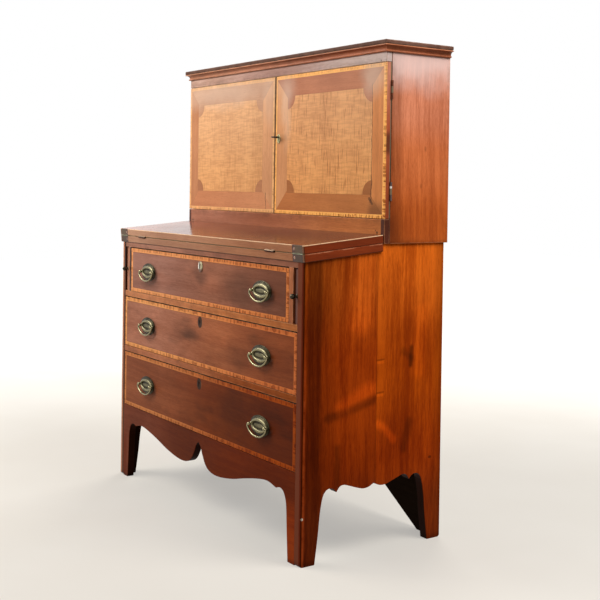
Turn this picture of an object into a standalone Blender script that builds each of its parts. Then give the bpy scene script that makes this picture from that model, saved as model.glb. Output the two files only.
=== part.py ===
"""Inlaid mahogany writing cabinet.

A chest of three long drawers on bracket feet carries a sloping two-leaf writing top. The upper leaf folds
forward on hinges at the front edge and comes down on two lopers, which draw out beside the top drawer.
A shallow cabinet with two doors stands on the back of the chest.

Lengths are in metres, +Z is up and the front faces -Y. The pieces are laid out in the case's own
coordinates: x from the middle, y back from the front of the chest, z up from the floor. All of them hang
from one empty, which puts the middle of the whole cabinet over the origin.
"""

import math

import bmesh
import bpy
from mathutils import Matrix, Vector

# Fits that all the pieces share
FIT = 0.0003                     # between pieces that touch
RUNNING_GAP = 0.0006             # between pieces that slide or turn past each other
OVERRUN = 0.004                  # how far a cutter runs past what it cuts
ARRIS = 0.0008                   # eased edge of the veneered pieces

# Chest
CHEST_WIDTH = 0.950
CHEST_DEPTH = 0.420
SIDE_THICKNESS = 0.024
BACK_THICKNESS = 0.012
FLOOR_BOARD_THICKNESS = 0.019
DIVIDER_THICKNESS = 0.0158
TOP_RAIL_HEIGHT = 0.0130
TOP_RAIL_DEPTH = 0.060
DRAWER_BAY_BOTTOM = 0.2112       # top of the floor board
DRAWER_OPENINGS = (0.1302, 0.1467, 0.1598)   # from the top drawer down
CORNER_WEAR = 0.007              # rounded front corner of each side
WEAR_STEPS = 5
SEAT_STEP = 0.0174               # behind the leaves the sides rise this much, to carry the upper cabinet

# Feet and aprons
APRON_THICKNESS = 0.020
FRONT_CUSP_DROP = 0.0032         # middle cusp of the front apron, below the floor board
SIDE_ARCH_DROP = 0.0202          # highest point of the side aprons, below the floor board
BACK_ARCH_DROP = 0.0272
BACK_FOOT_INSET = 0.070          # foot of the back board, from the outside of the chest
BACK_ARCH_INSET = 0.325          # where the back board's slanting cut reaches its top
FOOT_CHAMFER = 0.004

# Half outlines, from the middle or from the foot, as shares of half the width or depth and of the height
FRONT_LOBE_SHARES = ((0.0, 1.0), (0.025, 0.950), (0.046, 0.850), (0.080, 0.730), (0.126, 0.665),
                     (0.190, 0.645), (0.270, 0.660), (0.380, 0.710), (0.486, 0.780), (0.610, 0.850),
                     (0.705, 0.880), (0.783, 0.840))
FRONT_FOOT_SHARES = ((0.783, 0.840), (0.817, 0.865), (0.846, 0.840), (0.865, 0.770), (0.876, 0.660),
                     (0.883, 0.370), (0.893, 0.0))
SIDE_FOOT_SHARES = ((0.190, 0.0), (0.231, 0.380), (0.255, 0.670), (0.290, 0.885), (0.338, 0.968),
                    (0.395, 0.985), (0.440, 0.965), (0.478, 0.920))
SIDE_LOBE_SHARES = ((0.478, 0.920), (0.520, 0.985), (0.585, 1.0), (0.700, 0.955), (0.830, 0.907),
                    (0.920, 0.910), (1.0, 0.955))
OUTLINE_STEPS = 3                # points from one share to the next

# Lopers beside the top drawer
LOPER_THICKNESS = 0.0173
LOPER_BACK_CLEARANCE = 0.075     # behind its inner end, to the back board
LOPER_RECESS = 0.0042            # its end stands back from the front of the chest
LOPER_TRAVEL = 0.165             # how far it draws out
PARTITION_THICKNESS = 0.0170
LOPER_KNOB_RADIUS = 0.0065
LOPER_KNOB_NECK_RADIUS = 0.0028
LOPER_KNOB_NECK_LENGTH = 0.0047
LOPER_KNOB_ROSE_RADIUS = 0.0055
LOPER_KNOB_ROSE_THICKNESS = 0.0015
LOPER_KNOB_SIDES = 14

# Drawers
DRAWER_MARGIN = 0.001            # seen beside and below each drawer front
DRAWER_TOP_GAP = 0.0023          # seen above it
DRAWER_FRONT_THICKNESS = 0.020
DRAWER_BACK_CLEARANCE = 0.023    # between a closed drawer and the back board
DRAWER_WALL = 0.010
DRAWER_FLOOR = 0.008
DRAWER_HEADROOM = 0.012          # the box's sides stand this much lower than the front
LOCK_WIDTH = 0.060
LOCK_HEIGHT = 0.042
LOCK_DEPTH = 0.009
LOCK_INSET = 0.002               # from the drawer front's top edge down to the lock
KEYHOLE_DROP = 0.0225            # from the drawer front's top edge to the keyhole
KEYHOLE_CLEARANCE = 0.0004       # round the key's shaft
KEYHOLE_TAIL = 0.0080            # from the round of the keyhole down to its foot
KEYHOLE_TAIL_WIDTH = 0.0022

# Drawer handles
HANDLE_INSET = 0.175             # from the side of the chest
PLATE_HALF_WIDTH = 0.042
PLATE_HALF_HEIGHT = 0.0246
PLATE_THICKNESS = 0.0016
PLATE_RING_RISE = 0.0054
# Rings of the plate as (inset, rise): a thin edge, a broad raised ring, the dish inside it and a long boss
PLATE_RING_SHARES = ((0.0, 0.0), (0.0, 0.13), (0.09, 0.24), (0.36, 0.92), (0.50, 1.0), (0.66, 0.58),
                     (0.86, 0.72))
PLATE_SIDES = 24
POST_SPREAD = 0.0340
POST_RADIUS = 0.0030
POST_BALL_RADIUS = 0.0043
POST_SIDES = 10
BAIL_CLEARANCE = 0.0011          # between the hanging bail and the level of the raised ring
BAIL_RADIUS = 0.0026
BAIL_PIN_RADIUS = 0.0016
BAIL_PIN_CLEARANCE = 0.0004
BAIL_WING = 0.0023               # how far the bail swells out past its shoulders
BAIL_DROP = 0.0250
BAIL_SHARES = ((0.97, -0.02), (1.0, -0.14), (0.975, -0.28), (0.88, -0.47), (0.70, -0.70), (0.39, -0.92))
BAIL_SIDES = 7

# Escutcheons
ESCUTCHEON_HALF_WIDTH = 0.0085
ESCUTCHEON_HALF_HEIGHT = 0.0130
ESCUTCHEON_THICKNESS = 0.0012
DRAWER_ESCUTCHEON_SCALE = (1.35, 1.12, 1.50)    # the drawer's against the door's: width, height, thickness
ESCUTCHEON_RING_SHARES = ((0.0, 0.0), (0.0, 0.5), (0.16, 1.0))
ESCUTCHEON_SIDES = 20

# Writing top
LEAF_SLOPE = math.radians(5.3)
LEAF_THICKNESS = 0.0192
LEAF_NOSE = 0.004                # overhang past the front of the chest
LEAF_SIDE_OVERHANG = 0.005
LEAF_BACK_GAP = 0.002            # between the leaves and the rail of the upper cabinet
SEAM_GAP = 0.0008
LINING_MARGIN = 0.050            # wooden border round the lining
LINING_THICKNESS = 0.0008
CORNER_PLATE_WIDTH = 0.041
CORNER_PLATE_INSET = 0.007       # wood left between the plate and the end of the leaf
CORNER_PLATE_THICKNESS = 0.0018
KNUCKLE_INSET = 0.143            # middle hinges of the flap, from the leaf's end
FLAP_HINGE_LENGTH = 0.040
FLAP_KNUCKLE_RADIUS = 0.0030
FLAP_PIN_RADIUS = 0.0012

# Upper cabinet
UPPER_SETBACK = 0.2267           # face of its doors, behind the front of the chest
UPPER_OVERHANG = 0.0045          # past each side of the chest
UPPER_BACK_OVERHANG = 0.008
UPPER_SIDE_THICKNESS = 0.016
UPPER_BACK_THICKNESS = 0.010
FACE_THICKNESS = 0.016           # doors, rail and frieze
UPPER_BOARD_THICKNESS = 0.016
RAIL_HEIGHT = 0.0582             # below the doors
DOOR_HEIGHT = 0.3725
DOOR_MARGIN = 0.001
FRIEZE_HEIGHT = 0.0230           # seen below the cornice
TOP_BOARD_THICKNESS = 0.010
TOP_BOARD_EDGE = 0.001           # past the cornice
TOP_BOARD_ROUNDING = 0.0025
SHELF_THICKNESS = 0.012
SHELF_SHARE = 0.38               # of the height inside the cabinet
SHELF_SETBACK = 0.022            # behind the cabinet's front edges

# Cornice moulding
BEAD_RADIUS = 0.0026
BEAD_NECK = 0.0022
COVE_FILLET = 0.0010             # between the bead and the cove
COVE_HEIGHT = 0.0088
COVE_LIP = 0.0112
LIP_REACH = 0.0013               # past the cove
LIP_HEIGHT = 0.0027
MOULDING_STEPS = 6

# Door hinges
DOOR_HINGE_MARGIN = 0.065        # from the door's ends to the middle of each hinge
DOOR_HINGE_LENGTH = 0.045
DOOR_HINGE_STANDOFF = 0.0015     # the pin's axis, outside the door's edge
DOOR_KNUCKLE_RADIUS = 0.0032
DOOR_PIN_RADIUS = 0.0013
DOOR_HINGE_LEAF_THICKNESS = 0.0015
DOOR_HINGE_LEAF_MARGIN = 0.0025  # from the leaf to the side's inner face
HINGE_SIDES = 12

# Door lock and key
KEY_FROM_EDGE = 0.020            # from the meeting edge of the doors
KEY_RISE = 0.2071                # above the bottom of the door
LOCK_CASE_LEFT = 0.0025          # from the meeting edge to the case
LOCK_CASE_BELOW_KEY = 0.022
LOCK_CASE_ABOVE_BOLT = 0.004
LOCK_CASE_PAST_BOLT = 0.0115
LOCK_CASE_DEPTH = 0.0115
LOCK_CASE_WALL = 0.0015
BOLT_FLOOR = 0.006               # from the key's axis up to the bolt
BOLT_HEIGHT = 0.008
BOLT_THICKNESS = 0.0045
BOLT_FRONT_GAP = 0.0018          # between the door's inner face and the bolt
BOLT_NOTCH_START = 0.0052        # from the key's axis
BOLT_NOTCH_WIDTH = 0.0080
BOLT_NOTCH_DEPTH = 0.0036
BOLT_TAIL = 0.0018               # past the notch
KEY_SHAFT_RADIUS = 0.0020
KEY_COLLAR_STANDOFF = 0.00355    # from the keyhole plate to the collar
KEY_BOW_HALF_WIDTH = 0.0085
KEY_BOW_HALF_LENGTH = 0.0065
KEY_BOW_RADIUS = 0.0019
KEY_BIT_LENGTH = 0.0085          # from the key's axis
KEY_BIT_WIDTH = 0.0020
KEY_BIT_DEPTH = 0.0035
KEY_COLLAR_RADIUS = 0.0031
KEY_COLLAR_LENGTH = 0.0020
KEY_SIDES = 14
BOW_STEPS = 20
BOW_SIDES = 8

# Places worked out from the sizes above
HALF_CHEST = CHEST_WIDTH / 2
HALF_BAY = HALF_CHEST - SIDE_THICKNESS
BACK_FACE = CHEST_DEPTH - BACK_THICKNESS
FLOOR_UNDERSIDE = DRAWER_BAY_BOTTOM - FLOOR_BOARD_THICKNESS
FRONT_CUSP_HEIGHT = FLOOR_UNDERSIDE - FRONT_CUSP_DROP
SIDE_ARCH_HEIGHT = FLOOR_UNDERSIDE - SIDE_ARCH_DROP
BACK_ARCH_HEIGHT = FLOOR_UNDERSIDE - BACK_ARCH_DROP
BAY_BOTTOMS = []
BAY_TOPS = []
level = DRAWER_BAY_BOTTOM
for opening in reversed(DRAWER_OPENINGS):
    BAY_BOTTOMS.insert(0, level)
    BAY_TOPS.insert(0, level + opening)
    level += opening + DIVIDER_THICKNESS
HALF_TOP_BAY = HALF_BAY - LOPER_THICKNESS - 2 * RUNNING_GAP - PARTITION_THICKNESS
LOPER_END = BACK_FACE - LOPER_BACK_CLEARANCE
LOPER_KNOB_CENTRE = LOPER_KNOB_ROSE_THICKNESS + LOPER_KNOB_NECK_LENGTH + LOPER_KNOB_RADIUS
DRAWER_END = BACK_FACE - DRAWER_BACK_CLEARANCE
HANDLE_SPREAD = HALF_CHEST - HANDLE_INSET
PLATE_DEPTH = PLATE_THICKNESS + PLATE_RING_RISE
PIVOT_REACH = FIT + PLATE_DEPTH + BAIL_CLEARANCE + BAIL_RADIUS    # from the drawer's face to the bail's pivot
BAIL_SHOULDER = POST_SPREAD + POST_BALL_RADIUS + RUNNING_GAP
BAIL_HALF_WIDTH = BAIL_SHOULDER + BAIL_WING
BAIL_PIN_BORE_RADIUS = BAIL_PIN_RADIUS + BAIL_PIN_CLEARANCE
KEYHOLE_RADIUS = KEY_SHAFT_RADIUS + KEYHOLE_CLEARANCE
LEAF_BASE = BAY_TOPS[0] + TOP_RAIL_HEIGHT + FIT       # underside of the lower leaf, at the chest's front
HALF_LEAF = HALF_CHEST + LEAF_SIDE_OVERHANG
LEAF_OFFSET = SEAM_GAP / 2
FLAP_AXIS_Y = -LEAF_NOSE
FLAP_AXIS_Z = (LEAF_BASE - LEAF_NOSE * math.tan(LEAF_SLOPE)
               + (LEAF_OFFSET + LEAF_THICKNESS) / math.cos(LEAF_SLOPE))
LEAF_BACK = UPPER_SETBACK - LEAF_BACK_GAP
KNUCKLE_SPREAD = HALF_LEAF - KNUCKLE_INSET
SEAT_HEIGHT = LEAF_BASE + LEAF_BACK * math.tan(LEAF_SLOPE) + SEAT_STEP
HALF_UPPER = HALF_CHEST + UPPER_OVERHANG
UPPER_BACK = CHEST_DEPTH + UPPER_BACK_OVERHANG
UPPER_FRAME = UPPER_SETBACK + FACE_THICKNESS + RUNNING_GAP
UPPER_BACK_FACE = UPPER_BACK - UPPER_BACK_THICKNESS
HALF_UPPER_INSIDE = HALF_UPPER - UPPER_SIDE_THICKNESS
RAIL_TOP = SEAT_HEIGHT + FIT + RAIL_HEIGHT
DOOR_BOTTOM = RAIL_TOP + DOOR_MARGIN
DOOR_TOP = DOOR_BOTTOM + DOOR_HEIGHT
COVE_START = 2 * BEAD_RADIUS + COVE_FILLET
COVE_TOP = COVE_START + COVE_HEIGHT
CORNICE_HEIGHT = COVE_TOP + LIP_HEIGHT
CORNICE_REACH = COVE_LIP + LIP_REACH
TOP_BOARD_REACH = CORNICE_REACH + TOP_BOARD_EDGE
CORNICE_BOTTOM = DOOR_TOP + DOOR_MARGIN + FRIEZE_HEIGHT
TOP_BOARD_BOTTOM = CORNICE_BOTTOM + CORNICE_HEIGHT + FIT
UPPER_FLOOR_TOP = SEAT_HEIGHT + FIT + UPPER_BOARD_THICKNESS
SHELF_BOTTOM = UPPER_FLOOR_TOP + SHELF_SHARE * (TOP_BOARD_BOTTOM - UPPER_FLOOR_TOP)
DOOR_AXIS_X = HALF_UPPER + DOOR_HINGE_STANDOFF
DOOR_AXIS_Y = UPPER_SETBACK + FACE_THICKNESS + RUNNING_GAP / 2
DOOR_INNER_FACE = UPPER_SETBACK + FACE_THICKNESS
DOOR_HINGE_LEAF_WIDTH = UPPER_SIDE_THICKNESS - DOOR_HINGE_LEAF_MARGIN
KEY_HEIGHT = DOOR_BOTTOM + KEY_RISE
FRONT_REACH = max(PIVOT_REACH + POST_BALL_RADIUS, LOPER_KNOB_CENTRE + LOPER_KNOB_RADIUS - LOPER_RECESS)

# Colour, roughness and metallic value of each kind of surface
MAHOGANY = ((0.180, 0.050, 0.025), 0.28, 0.0)
MAHOGANY_SIDE = ((0.300, 0.110, 0.035), 0.32, 0.0)
DRAWER_MAHOGANY = ((0.165, 0.058, 0.032), 0.26, 0.0)
SATINWOOD = ((0.560, 0.270, 0.075), 0.25, 0.0)
DEAL = ((0.330, 0.200, 0.100), 0.75, 0.0)
OAK = ((0.360, 0.215, 0.110), 0.70, 0.0)
BRASS = ((0.480, 0.360, 0.150), 0.35, 1.0)
STEEL = ((0.320, 0.290, 0.250), 0.38, 1.0)
BAIZE = ((0.040, 0.110, 0.060), 0.95, 0.0)

for leftover in list(bpy.data.objects):
    bpy.data.objects.remove(leftover, do_unlink=True)

CASE = bpy.data.objects.new("case_front", None)
CASE.location = (0, (FRONT_REACH - UPPER_BACK) / 2, 0)
bpy.context.scene.collection.objects.link(CASE)


def smooth_line(points, steps):
    """A smooth curve through the points, without its last point."""
    line = []
    for i in range(len(points) - 1):
        before = points[max(i - 1, 0)]
        after = points[min(i + 2, len(points) - 1)]
        for step in range(steps):
            t = step / steps
            here = Vector(points[i])
            there = Vector(points[i + 1])
            leave = (there - Vector(before)) / 2
            arrive = (Vector(after) - here) / 2
            line.append(tuple(here * (2 * t**3 - 3 * t**2 + 1) + leave * (t**3 - 2 * t**2 + t)
                              + there * (3 * t**2 - 2 * t**3) + arrive * (t**3 - t**2)))
    return line


def arc(centre, radii, start, end, steps):
    """Points along an ellipse's arc, both ends included. The angles are in degrees."""
    points = []
    for step in range(steps + 1):
        angle = math.radians(start + (end - start) * step / steps)
        points.append((centre[0] + radii[0] * math.cos(angle), centre[1] + radii[1] * math.sin(angle)))
    return points


def block(low, high):
    """A box between two corners."""
    form = bmesh.new()
    bmesh.ops.create_cube(form, size=1)
    low, high = Vector(low), Vector(high)
    size = high - low
    bmesh.ops.scale(form, verts=form.verts, vec=size)
    bmesh.ops.translate(form, verts=form.verts, vec=(low + high) / 2)
    return form


def prism(outline, axis, low, high):
    """The outline, drawn in the two other coordinates in their order, extruded along an axis."""
    def point(flat, along):
        values = list(flat)
        values.insert("XYZ".index(axis), along)
        return values
    form = bmesh.new()
    base = form.faces.new([form.verts.new(point(flat, low)) for flat in outline])
    grown = bmesh.ops.extrude_face_region(form, geom=[base])
    top = [item for item in grown["geom"] if isinstance(item, bmesh.types.BMVert)]
    bmesh.ops.translate(form, verts=top, vec=point((0, 0), high - low))
    return form


def loft(rings):
    """Joins rings of equal point counts in order, and closes both ends."""
    form = bmesh.new()
    rows = [[form.verts.new(point) for point in ring] for ring in rings]
    count = len(rows[0])
    for lower, upper in zip(rows, rows[1:]):
        for i in range(count):
            j = (i + 1) % count
            form.faces.new((lower[i], lower[j], upper[j], upper[i]))
    form.faces.new(rows[0])
    form.faces.new(rows[-1])
    return form


def turned(profile, centre, axis, sides):
    """Revolves (radius, distance) pairs round an axis through the centre."""
    place = Matrix.Translation(centre) @ Vector((0, 0, 1)).rotation_difference(axis).to_matrix().to_4x4()
    rings = []
    for radius, distance in profile:
        angles = [2 * math.pi * i / sides for i in range(sides)]
        rings.append([place @ Vector((radius * math.cos(a), radius * math.sin(a), distance))
                      for a in angles])
    return loft(rings)


def rod(start, end, radius, sides):
    """A plain cylinder between two points."""
    start, end = Vector(start), Vector(end)
    return turned(((radius, 0), (radius, (end - start).length)), start, end - start, sides)


def oval_plate(centre, half_width, half_height, depth, shares, sides):
    """A domed oval plate on a plane that faces -Y. The shares are (inset, rise) of its rings."""
    rings = []
    for share, rise in shares:
        inset = share * min(half_width, half_height)
        flat = arc((centre[0], centre[2]), (half_width - inset, half_height - inset), 0, 360, sides)[:-1]
        rings.append([(x, centre[1] - depth * rise, z) for x, z in flat])
    return loft(rings)


def swept(points, radii, side, sides, closed=False):
    """A round tube along points that lie in the plane normal to the side direction."""
    side = Vector(side)
    rings = []
    last = len(points) - 1
    for i, point in enumerate(points):
        if closed:
            tangent = Vector(points[(i + 1) % len(points)]) - Vector(points[i - 1])
        else:
            tangent = Vector(points[min(i + 1, last)]) - Vector(points[max(i - 1, 0)])
        across = tangent.cross(side).normalized()
        ring = []
        for step in range(sides):
            angle = 2 * math.pi * (step + 0.5) / sides
            ring.append(Vector(point) + radii[i] * (math.cos(angle) * across + math.sin(angle) * side))
        rings.append(ring)
    if not closed:
        return loft(rings)
    form = bmesh.new()
    rows = [[form.verts.new(point) for point in ring] for ring in rings]
    for row, following in zip(rows, rows[1:] + rows[:1]):
        for i in range(sides):
            j = (i + 1) % sides
            form.faces.new((row[i], row[j], following[j], following[i]))
    return form


def make_object(name, form, pivot):
    """An object that holds the form, with its origin on the pivot."""
    bmesh.ops.recalc_face_normals(form, faces=form.faces)
    bmesh.ops.translate(form, verts=form.verts, vec=-Vector(pivot))
    mesh = bpy.data.meshes.new(name)
    form.to_mesh(mesh)
    form.free()
    thing = bpy.data.objects.new(name, mesh)
    thing.location = pivot
    thing.parent = CASE
    bpy.context.scene.collection.objects.link(thing)
    return thing


def add_piece(name, form, finish, pivot=(0, 0, 0), rounded=False):
    """A named piece of the cabinet with a finish of its own."""
    piece = make_object(name, form, pivot)
    colour, roughness, metallic = finish
    material = bpy.data.materials.new(name + "_finish")
    material.use_nodes = True
    shader = material.node_tree.nodes["Principled BSDF"]
    shader.inputs["Base Color"].default_value = (*colour, 1)
    shader.inputs["Roughness"].default_value = roughness
    shader.inputs["Metallic"].default_value = metallic
    piece.data.materials.append(material)
    if rounded:
        piece.data.shade_smooth()
        piece.data.set_sharp_from_angle(angle=math.radians(35))
    return piece


def combine(piece, form, operation):
    """Adds or takes away a form, kept as a guide that isn't part of the cabinet."""
    guide = make_object(piece.name + "_guide", form, (0, 0, 0))
    guide.hide_render = True
    guide.display_type = "WIRE"
    change = piece.modifiers.new(operation.lower(), "BOOLEAN")
    change.operation = operation
    change.solver = "EXACT"
    change.object = guide


def cut(piece, form):
    combine(piece, form, "DIFFERENCE")


def join(piece, form):
    combine(piece, form, "UNION")


def ease_edges(piece, width=ARRIS, segments=1):
    """Takes the sharpness off a piece's straight edges."""
    bevel = piece.modifiers.new("eased_edges", "BEVEL")
    bevel.width = width
    bevel.segments = segments
    bevel.limit_method = "ANGLE"
    bevel.angle_limit = math.radians(40)


def shaped(shares, half_span, height):
    """The real points of a half outline."""
    return [(along * half_span, up * height) for along, up in shares]


def leaf_underside(y):
    """Height of the lower leaf's underside."""
    return LEAF_BASE + y * math.tan(LEAF_SLOPE)


def on_slope(distance, rise):
    """A (y, z) point measured back from the flap's axis along the slope, and square to it."""
    return (FLAP_AXIS_Y + distance * math.cos(LEAF_SLOPE) - rise * math.sin(LEAF_SLOPE),
            FLAP_AXIS_Z + distance * math.sin(LEAF_SLOPE) + rise * math.cos(LEAF_SLOPE))


def sloped_block(x_low, x_high, near, far, low, high):
    """A block that lies along the leaves' slope."""
    outline = [on_slope(near, low), on_slope(far, low), on_slope(far, high), on_slope(near, high)]
    return prism(outline, "X", x_low, x_high)


def keyhole(x, z, front, back):
    """A cutter for a keyhole: a round with a tail that widens a little."""
    half_tail = KEYHOLE_TAIL_WIDTH / 2
    outline = arc((x, z), (KEYHOLE_RADIUS, KEYHOLE_RADIUS), -50, 230, 10)
    outline += [(x - half_tail, z - KEYHOLE_TAIL), (x + half_tail, z - KEYHOLE_TAIL)]
    return prism(outline, "Y", front, back)


def make_chest_side(name, sign):
    """One side of the chest, from its sloping top down to its two feet."""
    half_depth = CHEST_DEPTH / 2
    foot = smooth_line(shaped(SIDE_FOOT_SHARES, half_depth, SIDE_ARCH_HEIGHT), OUTLINE_STEPS)
    lobe = smooth_line(shaped(SIDE_LOBE_SHARES, half_depth, SIDE_ARCH_HEIGHT), OUTLINE_STEPS)
    front_half = foot + lobe
    peak_share = SIDE_LOBE_SHARES[-1][1]
    back_half = [(CHEST_DEPTH - y, z) for y, z in reversed(front_half)]
    outline = front_half + [(half_depth, peak_share * SIDE_ARCH_HEIGHT)] + back_half
    outline += [(CHEST_DEPTH - FOOT_CHAMFER, 0), (CHEST_DEPTH, FOOT_CHAMFER)]
    step = LEAF_BACK + FIT
    outline += [(CHEST_DEPTH, SEAT_HEIGHT), (step, SEAT_HEIGHT), (step, leaf_underside(step) - FIT)]
    outline += [(0, leaf_underside(0) - FIT), (0, FOOT_CHAMFER), (FOOT_CHAMFER, 0)]
    inner, outer = sorted((sign * HALF_BAY, sign * HALF_CHEST))
    side = add_piece(name, prism(outline, "X", inner, outer), MAHOGANY_SIDE)
    middle = (sign * (HALF_CHEST - CORNER_WEAR), CORNER_WEAR)
    corner = arc(middle, (sign * CORNER_WEAR, CORNER_WEAR), 0, -90, WEAR_STEPS)
    past = sign * (HALF_CHEST + OVERRUN)
    corner += [(middle[0], -OVERRUN), (past, -OVERRUN), (past, CORNER_WEAR)]
    cut(side, prism(corner, "Z", -OVERRUN, SEAT_HEIGHT))


def make_front_apron():
    """The shaped apron below the bottom drawer, with the front feet's inner halves."""
    half = HALF_BAY - FIT
    lobe = smooth_line(shaped(FRONT_LOBE_SHARES, HALF_CHEST, FRONT_CUSP_HEIGHT), OUTLINE_STEPS)
    foot = smooth_line(shaped(FRONT_FOOT_SHARES, HALF_CHEST, FRONT_CUSP_HEIGHT), OUTLINE_STEPS)
    foot_end = (FRONT_FOOT_SHARES[-1][0] * HALF_CHEST, 0)
    right = lobe + foot + [foot_end, (half, 0), (half, DRAWER_BAY_BOTTOM)]
    left = [(-x, z) for x, z in reversed(right)][:-1]
    add_piece("front_apron", prism(right + left, "Y", 0, APRON_THICKNESS), MAHOGANY)


def make_chest_back():
    """The softwood back, cut away below to a plain slanting bracket at each foot."""
    half = HALF_BAY - FIT
    foot = HALF_CHEST - BACK_FOOT_INSET
    arch = HALF_CHEST - BACK_ARCH_INSET
    right = [(arch, BACK_ARCH_HEIGHT), (foot, 0), (half, 0), (half, SEAT_HEIGHT)]
    left = [(-x, z) for x, z in reversed(right)]
    add_piece("base_back", prism(right + left, "Y", BACK_FACE, CHEST_DEPTH), DEAL)


def make_chest_boards():
    """Floor, drawer dividers, top rail and the partitions that make the lopers' slots."""
    half = HALF_BAY - FIT
    back = BACK_FACE - FIT
    add_piece("base_bottom", block((-half, APRON_THICKNESS + FIT, FLOOR_UNDERSIDE),
                                   (half, back, DRAWER_BAY_BOTTOM)), DEAL)
    for name, bay in (("drawer_divider_upper", 1), ("drawer_divider_lower", 2)):
        low = BAY_TOPS[bay]
        divider = block((-half, 0, low), (half, back, low + DIVIDER_THICKNESS))
        add_piece(name, divider, MAHOGANY)
    rail = [(0, BAY_TOPS[0]), (TOP_RAIL_DEPTH, BAY_TOPS[0]),
            (TOP_RAIL_DEPTH, leaf_underside(TOP_RAIL_DEPTH) - FIT), (0, leaf_underside(0) - FIT)]
    add_piece("top_rail", prism(rail, "X", -half, half), MAHOGANY)
    for name, sign in (("loper_partition_left", -1), ("loper_partition_right", 1)):
        near, far = sorted((sign * HALF_TOP_BAY, sign * (HALF_TOP_BAY + PARTITION_THICKNESS)))
        wall = block((near, 0, BAY_BOTTOMS[0] + FIT), (far, back, BAY_TOPS[0] - FIT))
        add_piece(name, wall, MAHOGANY)


def make_loper(side, sign):
    """A loper on edge in its slot, its nose cut to the open flap's slope, and the small brass knob on it."""
    middle = sign * (HALF_BAY - RUNNING_GAP - LOPER_THICKNESS / 2)
    half = LOPER_THICKNESS / 2
    low = BAY_BOTTOMS[0] + FIT
    high = BAY_TOPS[0] - RUNNING_GAP
    nose = min(high, leaf_underside(LOPER_RECESS - LOPER_TRAVEL) - RUNNING_GAP)
    nose_end = LOPER_RECESS + (high - nose) / math.tan(LEAF_SLOPE)
    outline = [(LOPER_RECESS, low), (LOPER_END, low), (LOPER_END, high), (nose_end, high), (LOPER_RECESS, nose)]
    bar = prism(outline, "X", middle - half, middle + half)
    pivot = (middle, LOPER_RECESS, (low + high) / 2)
    ease_edges(add_piece("loper_" + side, bar, MAHOGANY, pivot))
    profile = [(LOPER_KNOB_ROSE_RADIUS, FIT), (LOPER_KNOB_ROSE_RADIUS, LOPER_KNOB_ROSE_THICKNESS),
               (LOPER_KNOB_NECK_RADIUS, LOPER_KNOB_ROSE_THICKNESS + FIT)]
    ball = arc((LOPER_KNOB_CENTRE, 0), (LOPER_KNOB_RADIUS, LOPER_KNOB_RADIUS), 155, 12, 8)
    profile += [(across, along) for along, across in ball]
    knob = turned(profile, pivot, Vector((0, -1, 0)), LOPER_KNOB_SIDES)
    add_piece("loper_knob_" + side, knob, BRASS, pivot, rounded=True)


def make_drawer(number):
    """A drawer front with its lock let into the back, and the open box behind it."""
    bay = number - 1
    half = (HALF_TOP_BAY if bay == 0 else HALF_BAY) - DRAWER_MARGIN
    low = BAY_BOTTOMS[bay] + DRAWER_MARGIN
    high = BAY_TOPS[bay] - DRAWER_TOP_GAP
    inner = DRAWER_FRONT_THICKNESS
    pivot = (0, 0, (low + high) / 2)
    front = add_piece(f"drawer_front_{number}", block((-half, 0, low), (half, inner, high)),
                      DRAWER_MAHOGANY, pivot)
    ease_edges(front)
    lock_top = high - LOCK_INSET
    join(front, block((-LOCK_WIDTH / 2, inner - OVERRUN, lock_top - LOCK_HEIGHT),
                      (LOCK_WIDTH / 2, inner + LOCK_DEPTH, lock_top)))
    cut(front, keyhole(0, high - KEYHOLE_DROP, -OVERRUN, inner + LOCK_DEPTH / 2))
    base = BAY_BOTTOMS[bay] + FIT
    box_half = half - FIT
    box = add_piece(f"drawer_box_{number}",
                    block((-box_half, inner + FIT, base), (box_half, DRAWER_END, high - DRAWER_HEADROOM)),
                    OAK, pivot)
    cut(box, block((-box_half + DRAWER_WALL, inner - OVERRUN, base + DRAWER_FLOOR),
                   (box_half - DRAWER_WALL, DRAWER_END - DRAWER_WALL, high + OVERRUN)))
    for side, sign in (("left", -1), ("right", 1)):
        make_handle(f"{number}_{side}", sign * HANDLE_SPREAD, (low + high) / 2)
    if bay == 0:
        make_escutcheon("drawer_escutcheon", 0, 0, high - KEYHOLE_DROP, pivot, DRAWER_ESCUTCHEON_SCALE)


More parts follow.
